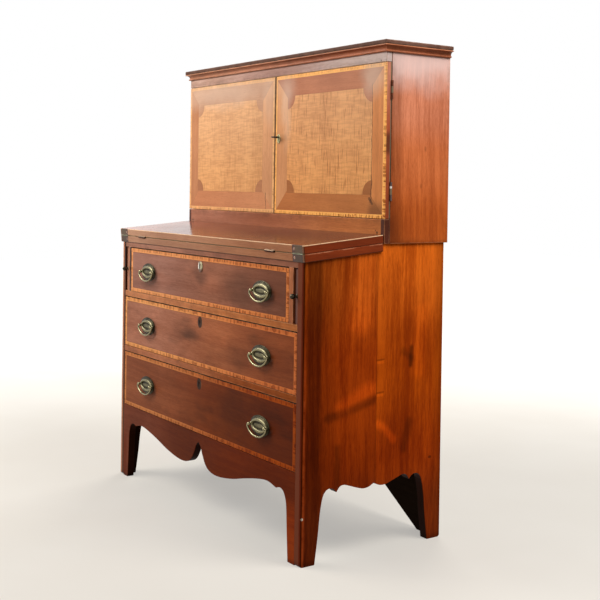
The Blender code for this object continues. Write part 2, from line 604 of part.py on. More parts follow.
def make_handle(label, x, z):
    """An oval plate with two ball-headed posts, and the bail that swings between them."""
    face = -FIT
    pivot = (x, -PIVOT_REACH, z)
    plate = oval_plate((x, face, z), PLATE_HALF_WIDTH, PLATE_HALF_HEIGHT,
                       PLATE_DEPTH, PLATE_RING_SHARES, PLATE_SIDES)
    piece = add_piece("handle_plate_" + label, plate, BRASS, pivot, rounded=True)
    for sign in (-1, 1):
        foot = (x + sign * POST_SPREAD, face - PLATE_THICKNESS / 2, z)
        ball = PIVOT_REACH + foot[1]
        profile = [(POST_RADIUS, 0), (POST_RADIUS, POST_RADIUS)]
        ball_line = arc((ball, 0), (POST_BALL_RADIUS, POST_BALL_RADIUS), 140, 20, 5)
        profile += [(across, along) for along, across in ball_line]
        join(piece, turned(profile, foot, Vector((0, -1, 0)), POST_SIDES))
    bore_end = BAIL_SHOULDER + OVERRUN
    cut(piece, rod((x - bore_end, -PIVOT_REACH, z), (x + bore_end, -PIVOT_REACH, z), BAIL_PIN_BORE_RADIUS,
                   POST_SIDES))
    pin_end = POST_SPREAD - POST_RADIUS
    curve = shaped(BAIL_SHARES, BAIL_HALF_WIDTH, BAIL_DROP)
    right = [(pin_end, 0), (BAIL_SHOULDER, 0)] + smooth_line(curve + [(0, -BAIL_DROP)], 2)
    line = right + [(0, -BAIL_DROP)] + [(-across, up) for across, up in reversed(right)]
    swell = [max(0, min(1, (across_point[1] / -BAIL_DROP) * 2)) for across_point in line]
    radii = [BAIL_PIN_RADIUS + (BAIL_RADIUS - BAIL_PIN_RADIUS) * share for share in swell]
    points = [(x + across, -PIVOT_REACH, z + up) for across, up in line]
    add_piece("handle_bail_" + label, swept(points, radii, (0, 1, 0), BAIL_SIDES), BRASS, pivot,
              rounded=True)


def make_escutcheon(name, x, face, z, pivot, scale=(1, 1, 1)):
    """An oval keyhole plate on a face that looks towards -Y."""
    middle = z - KEYHOLE_TAIL / 2
    form = oval_plate((x, face - FIT, middle), ESCUTCHEON_HALF_WIDTH * scale[0],
                      ESCUTCHEON_HALF_HEIGHT * scale[1], ESCUTCHEON_THICKNESS * scale[2],
                      ESCUTCHEON_RING_SHARES, ESCUTCHEON_SIDES)
    piece = add_piece(name, form, BRASS, pivot)
    cut(piece, keyhole(x, z, face - OVERRUN, face + OVERRUN))


def flap_hinge_span(share_low, share_high, sign):
    """The x limits of part of a middle hinge of the flap."""
    start = sign * KNUCKLE_SPREAD - FLAP_HINGE_LENGTH / 2
    return start + share_low * FLAP_HINGE_LENGTH, start + share_high * FLAP_HINGE_LENGTH


def flap_rod(low, high, radius):
    """A cylinder along the flap's axis."""
    return rod((low, FLAP_AXIS_Y, FLAP_AXIS_Z), (high, FLAP_AXIS_Y, FLAP_AXIS_Z), radius, HINGE_SIDES)


def make_leaf(name, low, high, lining_low, lining_high, pivot):
    """One leaf of the writing top, with its sunk lining and its two brass corner plates."""
    far = (LEAF_BACK - FLAP_AXIS_Y + low * math.sin(LEAF_SLOPE)) / math.cos(LEAF_SLOPE)
    board = sloped_block(-HALF_LEAF, HALF_LEAF, FIT, far, low, high)
    leaf = add_piece(name, board, MAHOGANY, pivot)
    ease_edges(leaf)
    half = HALF_LEAF - LINING_MARGIN
    near_edge = LINING_MARGIN
    far_edge = far - LINING_MARGIN
    side = 1 if lining_high > 0 else -1
    bottom, top = sorted((lining_low + side * FIT, lining_high - side * OVERRUN))
    cut(leaf, sloped_block(-half - FIT, half + FIT, near_edge - FIT, far_edge + FIT, bottom, top))
    inner, outer = sorted((lining_low, lining_high))
    add_piece(name + "_lining", sloped_block(-half, half, near_edge, far_edge, inner, outer), BAIZE, pivot)
    for label, sign in (("left", -1), ("right", 1)):
        end = sign * (HALF_LEAF - CORNER_PLATE_INSET)
        start = end - sign * CORNER_PLATE_WIDTH
        back = FIT + CORNER_PLATE_THICKNESS
        lower, upper = sorted((start - sign * FIT, end + sign * FIT))
        cut(leaf, sloped_block(lower, upper, -OVERRUN, back + FIT, low - OVERRUN, high + OVERRUN))
        lower, upper = sorted((start, end))
        plate = sloped_block(lower, upper, FIT, back, low, high)
        ease_edges(add_piece(f"{name}_corner_plate_{label}", plate, BRASS, pivot), CORNER_PLATE_THICKNESS / 6)
    return leaf


def make_writing_top():
    """The fixed lower leaf, the flap that folds forward off it, and the hinges on their front edge."""
    pivot = (0, FLAP_AXIS_Y, FLAP_AXIS_Z)
    inner = LEAF_OFFSET + LINING_THICKNESS
    fixed = make_leaf("lower_leaf", -LEAF_OFFSET - LEAF_THICKNESS, -LEAF_OFFSET, -inner, -LEAF_OFFSET,
                      (0, FLAP_AXIS_Y, FLAP_AXIS_Z))
    flap = make_leaf("writing_flap", LEAF_OFFSET, LEAF_OFFSET + LEAF_THICKNESS, inner, LEAF_OFFSET, pivot)
    room = FLAP_KNUCKLE_RADIUS + FIT
    knuckle_gap = FIT / FLAP_HINGE_LENGTH
    third = 1 / 3
    for sign in (-1, 1):
        low, high = flap_hinge_span(third, 2 * third, sign)
        cut(flap, flap_rod(low - FIT, high + FIT, room))
        join(fixed, flap_rod(low, high, FLAP_KNUCKLE_RADIUS))
        for start, end in ((0, third - knuckle_gap), (2 * third + knuckle_gap, 1)):
            low, high = flap_hinge_span(start, end, sign)
            cut(fixed, flap_rod(low - FIT, high + FIT, room))
            join(flap, flap_rod(low, high, FLAP_KNUCKLE_RADIUS))
        low, high = flap_hinge_span(0, 1, sign)
        cut(flap, flap_rod(low - OVERRUN, high + OVERRUN, FLAP_PIN_RADIUS + FIT))
        join(fixed, flap_rod(low, high, FLAP_PIN_RADIUS))


def make_upper_case():
    """The cabinet's sides, back, floor, shelf and top, and the rail and frieze planted on its front."""
    seat = SEAT_HEIGHT + FIT
    top = TOP_BOARD_BOTTOM - FIT
    half = HALF_UPPER_INSIDE - FIT
    back = UPPER_BACK_FACE - FIT
    face = UPPER_SETBACK
    face_back = UPPER_SETBACK + FACE_THICKNESS
    frame = UPPER_FRAME
    for name, sign in (("cabinet_side_left", -1), ("cabinet_side_right", 1)):
        near, far = sorted((sign * HALF_UPPER_INSIDE, sign * HALF_UPPER))
        side = add_piece(name, block((near, frame, seat), (far, UPPER_BACK, top)), MAHOGANY_SIDE)
        for middle in hinge_heights():
            cut_door_hinge_seat(side, sign, middle)
    add_piece("cabinet_back", block((-half, UPPER_BACK_FACE, seat), (half, UPPER_BACK, top)), DEAL)
    add_piece("cabinet_bottom", block((-half, frame, seat), (half, back, seat + UPPER_BOARD_THICKNESS)),
              MAHOGANY)
    add_piece("cabinet_shelf", block((-half, frame + SHELF_SETBACK, SHELF_BOTTOM),
                                     (half, back, SHELF_BOTTOM + SHELF_THICKNESS)), MAHOGANY)
    rail_back = face_back + RUNNING_GAP - FIT
    rail = add_piece("cabinet_rail", block((-HALF_UPPER, face, seat), (HALF_UPPER, rail_back, RAIL_TOP)),
                     MAHOGANY)
    ease_edges(rail)
    frieze = add_piece("frieze", block((-HALF_UPPER, face, DOOR_TOP + DOOR_MARGIN),
                                       (HALF_UPPER, rail_back, top)), MAHOGANY)
    ease_edges(frieze)
    board = block((-HALF_UPPER - TOP_BOARD_REACH, face - TOP_BOARD_REACH, TOP_BOARD_BOTTOM),
                  (HALF_UPPER + TOP_BOARD_REACH, UPPER_BACK, TOP_BOARD_BOTTOM + TOP_BOARD_THICKNESS))
    ease_edges(add_piece("cabinet_top", board, MAHOGANY), TOP_BOARD_ROUNDING, 2)


def make_cornice():
    """The bead and cove moulding, mitred round the front and both sides under the top board."""
    profile = [(0, 0)]
    profile += arc((BEAD_NECK, BEAD_RADIUS), (BEAD_RADIUS, BEAD_RADIUS), -90, 90, MOULDING_STEPS)
    profile += arc((COVE_LIP, COVE_START), (COVE_LIP - BEAD_NECK, COVE_TOP - COVE_START), 180, 90,
                   MOULDING_STEPS)
    profile += [(CORNICE_REACH, COVE_TOP), (CORNICE_REACH, CORNICE_HEIGHT - FIT), (0, CORNICE_HEIGHT - FIT)]
    half = HALF_UPPER + FIT
    face = UPPER_SETBACK - FIT
    corners = ((-half, UPPER_BACK, -1, 0), (-half, face, -1, -1),
               (half, face, 1, -1), (half, UPPER_BACK, 1, 0))
    rings = []
    for x, y, out_x, out_y in corners:
        rings.append([(x + reach * out_x, y + reach * out_y, CORNICE_BOTTOM + up) for reach, up in profile])
    add_piece("cornice", loft(rings), MAHOGANY, rounded=True)


def hinge_heights():
    """The middles of a door's two hinges."""
    return DOOR_BOTTOM + DOOR_HINGE_MARGIN, DOOR_TOP - DOOR_HINGE_MARGIN


def door_rod(sign, low, high, radius):
    """A cylinder along a door's hinge axis."""
    x = sign * DOOR_AXIS_X
    return rod((x, DOOR_AXIS_Y, low), (x, DOOR_AXIS_Y, high), radius, HINGE_SIDES)


def knuckle_spans(middle):
    """The z limits of a door hinge's lower, middle and upper knuckles."""
    bottom = middle - DOOR_HINGE_LENGTH / 2
    third = DOOR_HINGE_LENGTH / 3
    return [(bottom + i * third + FIT / 2, bottom + (i + 1) * third - FIT / 2) for i in range(3)]


def cut_door_hinge_seat(side, sign, middle):
    """The mortise for a hinge leaf in the side's front edge, and room for the door's knuckle."""
    low = middle - DOOR_HINGE_LENGTH / 2 - FIT
    high = middle + DOOR_HINGE_LENGTH / 2 + FIT
    near, far = sorted((sign * (HALF_UPPER - DOOR_HINGE_LEAF_WIDTH - FIT), sign * (HALF_UPPER + OVERRUN)))
    cut(side, block((near, UPPER_FRAME - OVERRUN, low),
                    (far, UPPER_FRAME + DOOR_HINGE_LEAF_THICKNESS + FIT, high)))
    cut(side, door_rod(sign, low, high, DOOR_KNUCKLE_RADIUS + FIT))


def make_door_hinge(label, sign, middle):
    """The fixed half of a hinge: a leaf let into the side, with two knuckles."""
    low = middle - DOOR_HINGE_LENGTH / 2
    high = middle + DOOR_HINGE_LENGTH / 2
    near, far = sorted((sign * (HALF_UPPER - DOOR_HINGE_LEAF_WIDTH), sign * DOOR_AXIS_X))
    leaf = block((near, UPPER_FRAME, low), (far, UPPER_FRAME + DOOR_HINGE_LEAF_THICKNESS, high))
    hinge = add_piece("door_hinge_" + label, leaf, BRASS, rounded=True)
    spans = knuckle_spans(middle)
    cut(hinge, door_rod(sign, spans[1][0] - FIT, spans[1][1] + FIT, DOOR_KNUCKLE_RADIUS + FIT))
    for start, end in (spans[0], spans[2]):
        join(hinge, door_rod(sign, start, end, DOOR_KNUCKLE_RADIUS))
    cut(hinge, door_rod(sign, low - OVERRUN, high + OVERRUN, DOOR_PIN_RADIUS + FIT))


def make_door(side, sign):
    """A veneered door with the moving knuckle and pin of each hinge."""
    pivot = (sign * DOOR_AXIS_X, DOOR_AXIS_Y, DOOR_BOTTOM)
    near, far = sorted((sign * DOOR_MARGIN / 2, sign * HALF_UPPER))
    slab = block((near, UPPER_SETBACK, DOOR_BOTTOM), (far, DOOR_INNER_FACE, DOOR_TOP))
    door = add_piece("door_" + side, slab, SATINWOOD, pivot)
    ease_edges(door)
    for label, middle in zip(("lower", "upper"), hinge_heights()):
        low = middle - DOOR_HINGE_LENGTH / 2
        high = middle + DOOR_HINGE_LENGTH / 2
        spans = knuckle_spans(middle)
        for start, end in (spans[0], spans[2]):
            cut(door, door_rod(sign, start - FIT, end + FIT, DOOR_KNUCKLE_RADIUS + FIT))
        join(door, door_rod(sign, spans[1][0], spans[1][1], DOOR_KNUCKLE_RADIUS))
        join(door, door_rod(sign, low, high, DOOR_PIN_RADIUS))
        make_door_hinge(f"{side}_{label}", sign, middle)
    return door


def make_lock_and_key(door):
    """The right door's lock case, its bolt, the key that throws the bolt, and the keyhole plate."""
    pivot = (DOOR_AXIS_X, DOOR_AXIS_Y, DOOR_BOTTOM)
    x = KEY_FROM_EDGE
    z = KEY_HEIGHT
    cut(door, keyhole(x, z, UPPER_SETBACK - OVERRUN, DOOR_INNER_FACE + OVERRUN))
    make_escutcheon("door_escutcheon", x, UPPER_SETBACK, z, pivot)
    bolt_front = DOOR_INNER_FACE + BOLT_FRONT_GAP
    bolt_back = bolt_front + BOLT_THICKNESS
    bolt_low = z + BOLT_FLOOR
    bolt_high = bolt_low + BOLT_HEIGHT
    notch = x + BOLT_NOTCH_START
    bolt_end = notch + BOLT_NOTCH_WIDTH + BOLT_TAIL
    left = LOCK_CASE_LEFT
    right = bolt_end + LOCK_CASE_PAST_BOLT
    low = z - LOCK_CASE_BELOW_KEY
    high = bolt_high + LOCK_CASE_ABOVE_BOLT
    front = DOOR_INNER_FACE + FIT
    back = front + LOCK_CASE_DEPTH
    wall = LOCK_CASE_WALL
    case = add_piece("door_lock", block((left, front, low), (right, back, high)), BRASS, pivot)
    cut(case, block((left + wall, front - OVERRUN, low + wall), (right - wall, back - wall, high - wall)))
    cut(case, block((left - OVERRUN, bolt_front - FIT, bolt_low - FIT),
                    (left + wall + OVERRUN, bolt_back + FIT, bolt_high + FIT)))
    bolt_pivot = (left, (bolt_front + bolt_back) / 2, (bolt_low + bolt_high) / 2)
    bolt = add_piece("door_lock_bolt", block((left, bolt_front, bolt_low), (bolt_end, bolt_back, bolt_high)),
                     STEEL, bolt_pivot)
    cut(bolt, block((notch, bolt_front - OVERRUN, bolt_low - OVERRUN),
                    (notch + BOLT_NOTCH_WIDTH, bolt_back + OVERRUN, bolt_low + BOLT_NOTCH_DEPTH)))
    plate_face = UPPER_SETBACK - FIT - ESCUTCHEON_THICKNESS
    collar = plate_face - KEY_COLLAR_STANDOFF - KEY_COLLAR_LENGTH
    shaft_start = collar - KEY_BOW_RADIUS
    bow_middle = shaft_start - KEY_BOW_HALF_LENGTH + KEY_BOW_RADIUS / 2
    tip = bolt_back
    key_pivot = (x, UPPER_SETBACK, z)
    shaft = rod((x, shaft_start, z), (x, tip, z), KEY_SHAFT_RADIUS, KEY_SIDES)
    key = add_piece("door_key", shaft, STEEL, key_pivot, rounded=True)
    flat = arc((x, bow_middle), (KEY_BOW_HALF_WIDTH, KEY_BOW_HALF_LENGTH), 0, 360, BOW_STEPS)[:-1]
    bow = swept([(a, b, z) for a, b in flat], [KEY_BOW_RADIUS] * len(flat), (0, 0, 1), BOW_SIDES, closed=True)
    join(key, bow)
    join(key, rod((x, collar, z), (x, collar + KEY_COLLAR_LENGTH, z), KEY_COLLAR_RADIUS, KEY_SIDES))
    half_bit = KEY_BIT_WIDTH / 2
    bit_end = tip - FIT
    join(key, block((x, bit_end - KEY_BIT_DEPTH, z - half_bit), (x + KEY_BIT_LENGTH, bit_end, z + half_bit)))


make_chest_side("base_side_left", -1)
make_chest_side("base_side_right", 1)
make_front_apron()
make_chest_back()
make_chest_boards()
make_loper("left", -1)
make_loper("right", 1)
for drawer_number in (1, 2, 3):
    make_drawer(drawer_number)
make_writing_top()
make_upper_case()
make_cornice()
make_door("left", -1)
make_lock_and_key(make_door("right", 1))
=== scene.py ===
"""An antique inlaid mahogany writing cabinet: finishes, fine fittings, floor, lamps and camera."""
import math
import random

import bmesh
import bpy
from mathutils import Matrix, Vector


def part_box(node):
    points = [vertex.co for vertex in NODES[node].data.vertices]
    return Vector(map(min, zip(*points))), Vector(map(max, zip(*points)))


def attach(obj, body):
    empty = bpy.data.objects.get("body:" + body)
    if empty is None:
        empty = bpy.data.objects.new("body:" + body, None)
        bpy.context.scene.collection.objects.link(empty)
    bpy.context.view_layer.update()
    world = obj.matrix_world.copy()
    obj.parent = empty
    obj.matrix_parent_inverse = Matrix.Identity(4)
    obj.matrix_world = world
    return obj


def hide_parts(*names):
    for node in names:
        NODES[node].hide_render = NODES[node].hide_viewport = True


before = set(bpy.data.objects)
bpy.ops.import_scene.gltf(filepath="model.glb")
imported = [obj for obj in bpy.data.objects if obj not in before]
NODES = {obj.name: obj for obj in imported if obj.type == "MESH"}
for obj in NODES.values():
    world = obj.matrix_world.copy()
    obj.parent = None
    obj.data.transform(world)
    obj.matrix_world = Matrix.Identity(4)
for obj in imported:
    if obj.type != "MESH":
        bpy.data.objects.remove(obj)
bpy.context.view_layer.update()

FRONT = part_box("front_apron")[0].y         # the plane of the drawer fronts
DOOR_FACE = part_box("door_left")[0].y
UPPER_HALF_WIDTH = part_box("cabinet_side_right")[1].x
LEAF_NOSE = 0.004                          # how far the leaves stand past the drawer fronts
LEAF_SLOPE = math.radians(5.3)
SEAM = (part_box("lower_leaf_corner_plate_left")[1].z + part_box("writing_flap_corner_plate_left")[0].z) / 2
FLAP_AXIS = Vector((0, FRONT - LEAF_NOSE, SEAM))
FADING = (0.78, 1.0, 1.15)                 # how fast red, green and blue go as old polish darkens


def srgb(red, green, blue):
    """A colour, given from 0 to 255, as a linear one."""
    parts = [channel / 255 for channel in (red, green, blue)]
    return tuple(c / 12.92 if c <= 0.04045 else ((c + 0.055) / 1.055) ** 2.4 for c in parts) + (1.0,)


class Tree:
    """The shader nodes of one material, written as calls that return sockets."""

    def __init__(self, name, family=bpy.data.materials, shader="BsdfPrincipled", output="OutputMaterial"):
        self.owner = family.new(name)
        self.owner.use_nodes = True
        self.tree = self.owner.node_tree
        self.tree.nodes.clear()
        self.shader = self.node(shader)
        self.node(output, self.shader.outputs[0])
        self.place = self.node("TexCoord").outputs["Object"]
        self.x, self.y, self.z = self.node("SeparateXYZ", self.place).outputs

    def node(self, kind, *values, **settings):
        """A new node with its settings made and its first inputs fed."""
        made = self.tree.nodes.new("ShaderNode" + kind)
        for key, value in settings.items():
            setattr(made, key, value)
        for socket, value in zip(made.inputs, values):
            self.feed(socket, value)
        return made

    def feed(self, socket, value):
        if isinstance(value, bpy.types.NodeSocket):
            self.tree.links.new(value, socket)
        else:
            socket.default_value = value

    def math(self, operation, *values):
        return self.node("Math", *values, operation=operation).outputs[0]

    def add(self, *values):
        total = values[0]
        for value in values[1:]:
            total = self.math("ADD", total, value)
        return total

    def sub(self, a, b):
        return self.math("SUBTRACT", a, b)

    def mul(self, *values):
        total = values[0]
        for value in values[1:]:
            total = self.math("MULTIPLY", total, value)
        return total

    def least(self, a, b):
        return self.math("MINIMUM", a, b)

    def most(self, a, b):
        return self.math("MAXIMUM", a, b)

    def away(self, value, middle):
        """How far a value is from a middle."""
        return self.math("ABSOLUTE", self.sub(value, middle))

    def inset(self, value, low, high):
        """How far a value is inside low and high."""
        return self.sub((high - low) / 2, self.away(value, (high + low) / 2))

    def step(self, value, low, high):
        """0 before low and 1 past high, smooth between. With high under low it falls instead."""
        return self.node("MapRange", value, low, high, interpolation_type="SMOOTHSTEP").outputs[0]

    def span(self, value, low, high, soft):
        """1 between low and high, with soft ends."""
        return self.mul(self.step(value, low - soft, low + soft), self.step(value, high + soft, high - soft))

    def vector(self, x, y, z):
        return self.node("CombineXYZ", x, y, z).outputs[0]

    def moved(self, vector, offset, operation="ADD"):
        return self.node("VectorMath", vector, offset, operation=operation).outputs[0]

    def times(self, vector, factors):
        return self.moved(vector, factors, "MULTIPLY")

    def scaled(self, vector, factor):
        if isinstance(vector, tuple):
            vector = vector[:3]
        made = self.node("VectorMath", vector, operation="SCALE")
        self.feed(made.inputs["Scale"], factor)
        return made.outputs[0]

    def noise(self, where, scale, detail=2.0, rough=0.55, output=0):
        made = self.node("TexNoise", where)
        for name, given in (("Scale", scale), ("Detail", detail), ("Roughness", rough)):
            made.inputs[name].default_value = given
        return made.outputs[output]

    def drift(self, scale, detail, amount, where=None):
        """An offset that wanders from place to place, by half the amount either way."""
        return self.mul(self.sub(self.noise(self.place if where is None else where, scale, detail), 0.5), amount)

    def mix(self, share, a, b):
        """A blend of two colours, through the colour sockets of the node."""
        made = self.node("Mix", share, data_type="RGBA")
        self.feed(made.inputs[6], a)
        self.feed(made.inputs[7], b)
        return made.outputs[2]

    def over(self, colour, share, red, green, blue, strength=1.0):
        """The colour with another one laid over it."""
        return self.mix(self.mul(share, strength), colour, srgb(red, green, blue))

    def ramp(self, value, *stops):
        """Colours (place, red, green, blue) along a value, each blended softly into the next."""
        place, *tone = stops[0]
        colour = srgb(*tone)
        for following, *tone in stops[1:]:
            colour = self.mix(self.step(value, place, following), colour, srgb(*tone))
            place = following
        return colour

    def lit(self, colour, share, factor):
        """The colour made lighter or darker by a factor where share is 1."""
        return self.scaled(colour, self.add(1.0, self.mul(share, factor - 1)))

    def deepen(self, colour, share, strength):
        """The colour made darker and redder where share is 1, as old polish does."""
        depth = self.mul(share, strength)
        return self.times(colour, self.vector(*(self.sub(1.0, self.mul(depth, speed)) for speed in FADING)))

    def length(self, a, b):
        return self.math("SQRT", self.add(self.mul(a, a), self.mul(b, b)))

    def spot(self, u, v, centre, radii, soft):
        """1 in an oval on a flat face."""
        a = self.mul(self.sub(u, centre[0]), 1 / radii[0])
        b = self.mul(self.sub(v, centre[1]), 1 / radii[1])
        return self.step(self.length(a, b), 1 + soft, 1 - soft)

    def stroke(self, u, v, start, end, half, soft):
        """1 along a straight stroke on a flat face."""
        run = Vector(end) - Vector(start)
        reach, (du, dv) = run.length, run.normalized()
        a, b = self.sub(u, start[0]), self.sub(v, start[1])
        along = self.add(self.mul(a, du), self.mul(b, dv))
        aside = self.sub(self.mul(a, dv), self.mul(b, du))
        past = self.most(self.sub(self.away(along, reach / 2), reach / 2), 0.0)
        return self.step(self.length(aside, past), half + soft, half)

    def marked(self, colour, u, v, *marks):
        """Strokes on a flat face: (start, end, half width, softness, factor)."""
        for start, end, half, soft, factor in marks:
            colour = self.lit(colour, self.stroke(u, v, start, end, half, soft), factor)
        return colour

    def bump(self, height, distance, under=None):
        made = self.node("Bump")
        made.inputs["Distance"].default_value = distance
        self.feed(made.inputs["Height"], height)
        if under is not None:
            self.feed(made.inputs["Normal"], under)
        return made.outputs[0]

    def rounded(self, radius):
        """A normal that turns softly over the edges of a flat-sided piece."""
        made = self.node("Bevel", samples=6)
        made.inputs["Radius"].default_value = radius
        return made.outputs[0]

    def finish(self, colour, roughness, normal=None, **values):
        self.feed(self.shader.inputs["Base Color"], colour)
        self.feed(self.shader.inputs["Roughness"], roughness)
        if normal is not None:
            self.feed(self.shader.inputs["Normal"], normal)
        for name, value in values.items():
            self.feed(self.shader.inputs[name.replace("_", " ")], value)
        return self.owner

    def seen(self):
        """1 where the camera looks, straight or in a reflection."""
        path = self.node("LightPath").outputs
        return self.most(path["Is Camera Ray"], self.most(path["Is Glossy Ray"], path["Is Transmission Ray"]))


def paint(material, name):
    """A CAD node's slots get the material."""
    for slot in NODES[name].material_slots:
        slot.material = material


def centre_of(name):
    """The centre of a node's box."""
    return [(low + high) / 2 for low, high in zip(*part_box(name))]


# Wood

STRETCH = 0.045            # how much slower wood changes along its fibres than across them
SMEAR = 0.12               # how much the roughness of polish varies
WHITE = (1.0, 1.0, 1.0, 1.0)
WARM_GLOSS = (1.0, 0.62, 0.36, 1.0)
RED_GLOSS = (1.0, 0.42, 0.14, 1.0)


def fibres(t, along, seed, sway=0.02):
    """Coordinates that run slowly along the grain, moved so that no two boards match."""
    chance = random.Random(seed)
    place = t.moved(t.place, tuple(chance.uniform(2, 40) for _ in range(3)))
    bend = t.moved(t.noise(place, 1.7, 1.0, output=1), (-0.5, -0.5, -0.5))
    place = t.moved(place, t.scaled(bend, sway * 2))
    stretch = [1.0, 1.0, 1.0]
    stretch["xyz".index(along)] = STRETCH
    return place, t.times(place, tuple(stretch))


def wood(t, along, seed, tones, spread=0.22, broad=12.0, contrast=1.0, pores=0.3, mottle=0.25):
    """Colour and height of polished straight-grained wood. Its tones are one colour, or an axis and a ramp's stops."""
    if isinstance(tones[0], str):
        tones = t.ramp(getattr(t, tones[0]), *tones[1:])
    place, run = fibres(t, along, seed)
    bands = t.noise(run, broad, 2.0)
    streaks = t.noise(run, broad * 7, 3.0)
    hairs = t.noise(run, broad * 55, 2.0, 0.7)
    shade = t.add(t.mul(bands, 0.9), t.mul(streaks, 0.65), t.mul(hairs, 0.70))
    middle, reach = 1.125, 0.33 / contrast     # the middle is half the sum of the three weights
    shade = t.step(shade, middle - reach, middle + reach)
    colour = t.deepen(t.scaled(tones, 1 + spread), t.sub(1.0, shade), 2 * spread)
    cloud = t.noise(place, 5.0, 3.0)
    colour = t.deepen(t.scaled(colour, 1 + mottle / 2), t.step(cloud, 0.7, 0.3), mottle)
    vessels = t.mul(t.step(t.noise(run, 1100.0, 1.0), 0.60, 0.72), pores)
    colour = t.deepen(colour, vessels, 1.0)
    return colour, t.sub(t.mul(hairs, 0.5), vessels)


def box_edges(t, name):
    """How far a point is from the nearest edge of a node's box."""
    gaps = [t.inset(*limits) for limits in zip((t.x, t.y, t.z), *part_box(name))]
    near, far = t.least(gaps[0], gaps[1]), t.most(gaps[0], gaps[1])
    return t.most(near, t.least(far, gaps[2]))


def blotches(t, seed):
    """Patches of wear, 0 to 1."""
    return t.noise(t.moved(t.place, (seed, 3, 7)), 26.0, 4.0, 0.7)


def worn(t, colour, name, pale, seed, strength, reach=0.0022, grime_and_shadow=0.3):
    """Rubbed arrises, and polish that has darkened beside them."""
    edge, patchy = box_edges(t, name), blotches(t, seed)
    rub_and_highlight = t.mul(t.step(t.add(edge, t.mul(t.sub(patchy, 0.5), 0.006)), reach, reach * 0.2), strength)
    edge_darkening = t.mul(t.step(edge, 0.020, 0.003), t.step(patchy, 0.35, 0.7), grime_and_shadow)
    colour = t.scaled(colour, t.sub(1.0, edge_darkening))
    return t.mix(rub_and_highlight, colour, pale)


def polish(t, base, seed):
    """Roughness with smears and dust."""
    smear = t.noise(t.moved(t.place, (seed, 1, 4)), 7.0, 4.0, 0.65)
    fine = t.noise(t.moved(t.place, (4, seed, 2)), 160.0, 2.0)
    return t.add(base - SMEAR / 2, t.mul(smear, SMEAR), t.mul(fine, SMEAR * 0.4))


def lacquer(t, colour, height, rough, seed, gloss, tint, relief=0.00010, bevel=0.0010, **values):
    """Finishes wood in old polish, with a soft arris."""
    normal = t.bump(height, relief, t.rounded(bevel))
    return t.finish(colour, polish(t, rough, seed), normal, Specular_IOR_Level=gloss, Specular_Tint=tint, **values)


def board(name, along, seed, tones, pale, rough=0.38, gloss=0.2, bevel=0.0012, strength=0.6, nails=(), joints=(),
          **looks):
    """One plain board, with (x, z, radius) nail holes, and joints given as an axis and places on it."""
    t = Tree("wood_" + name)
    colour, height = wood(t, along, seed, tones, **looks)
    colour = worn(t, colour, name, pale, seed, strength)
    for x, z, radius in nails:
        colour = t.lit(colour, t.spot(t.x, t.z, (x, z), (radius, radius), 0.35), 0.22)
    for place in joints[1:]:
        gap = t.away(getattr(t, joints[0]), place)
        colour = t.lit(colour, t.step(gap, 0.0016, 0.0006), 0.25)
        height = t.sub(height, t.mul(t.step(gap, 0.0014, 0.0004), 6.0))
    paint(lacquer(t, colour, height, rough, seed, gloss, WARM_GLOSS, bevel=bevel), name)


def crossband(t, along_edge, rim, width, seed, tone, depth, spacing):
    """A band of veneer whose short grain runs across the edge: dark ticks at uneven spacing, a bright line inside."""
    at = t.add(along_edge, seed * 0.37)
    slow = t.noise(t.vector(at, seed, t.mul(rim, 0.15)), 1.0 / spacing, 1.0)
    quick = t.noise(t.vector(at, seed, 5.0), 3.2 / spacing, 1.0)
    long = t.noise(t.vector(at, seed, 9.0), 0.45 / spacing, 1.0)
    reach = t.mul(width, t.add(0.55, t.mul(t.step(long, 0.40, 0.62), 0.75)))
    within = t.mul(t.step(t.sub(rim, reach), width * 0.12, -width * 0.12), t.step(rim, width - 0.0008, width - 0.0014))
    tick = t.mul(t.step(slow, 0.52, 0.41), within)
    fine = t.mul(t.step(quick, 0.52, 0.40), t.step(rim, width * 0.75, width * 0.55))
    tone = t.scaled(tone, t.add(1.0, t.mul(depth, 0.42), t.mul(t.sub(long, 0.5), 0.5)))
    return t.deepen(t.deepen(tone, tick, depth), fine, t.mul(depth, 0.42))


def bordered(t, inner, across, upright, width, seed, tone, depth, spacing):
    """A colour inside a border of crossbanding."""
    rim = t.least(across, upright)
    ends = crossband(t, t.z, rim, width, seed, tone, depth, spacing)
    rails = crossband(t, t.x, rim, width, seed + 1, tone, depth, spacing)
    band = t.mix(t.math("LESS_THAN", across, upright), rails, ends)
    return t.mix(t.step(rim, width - 0.0003, width + 0.0003), band, inner)


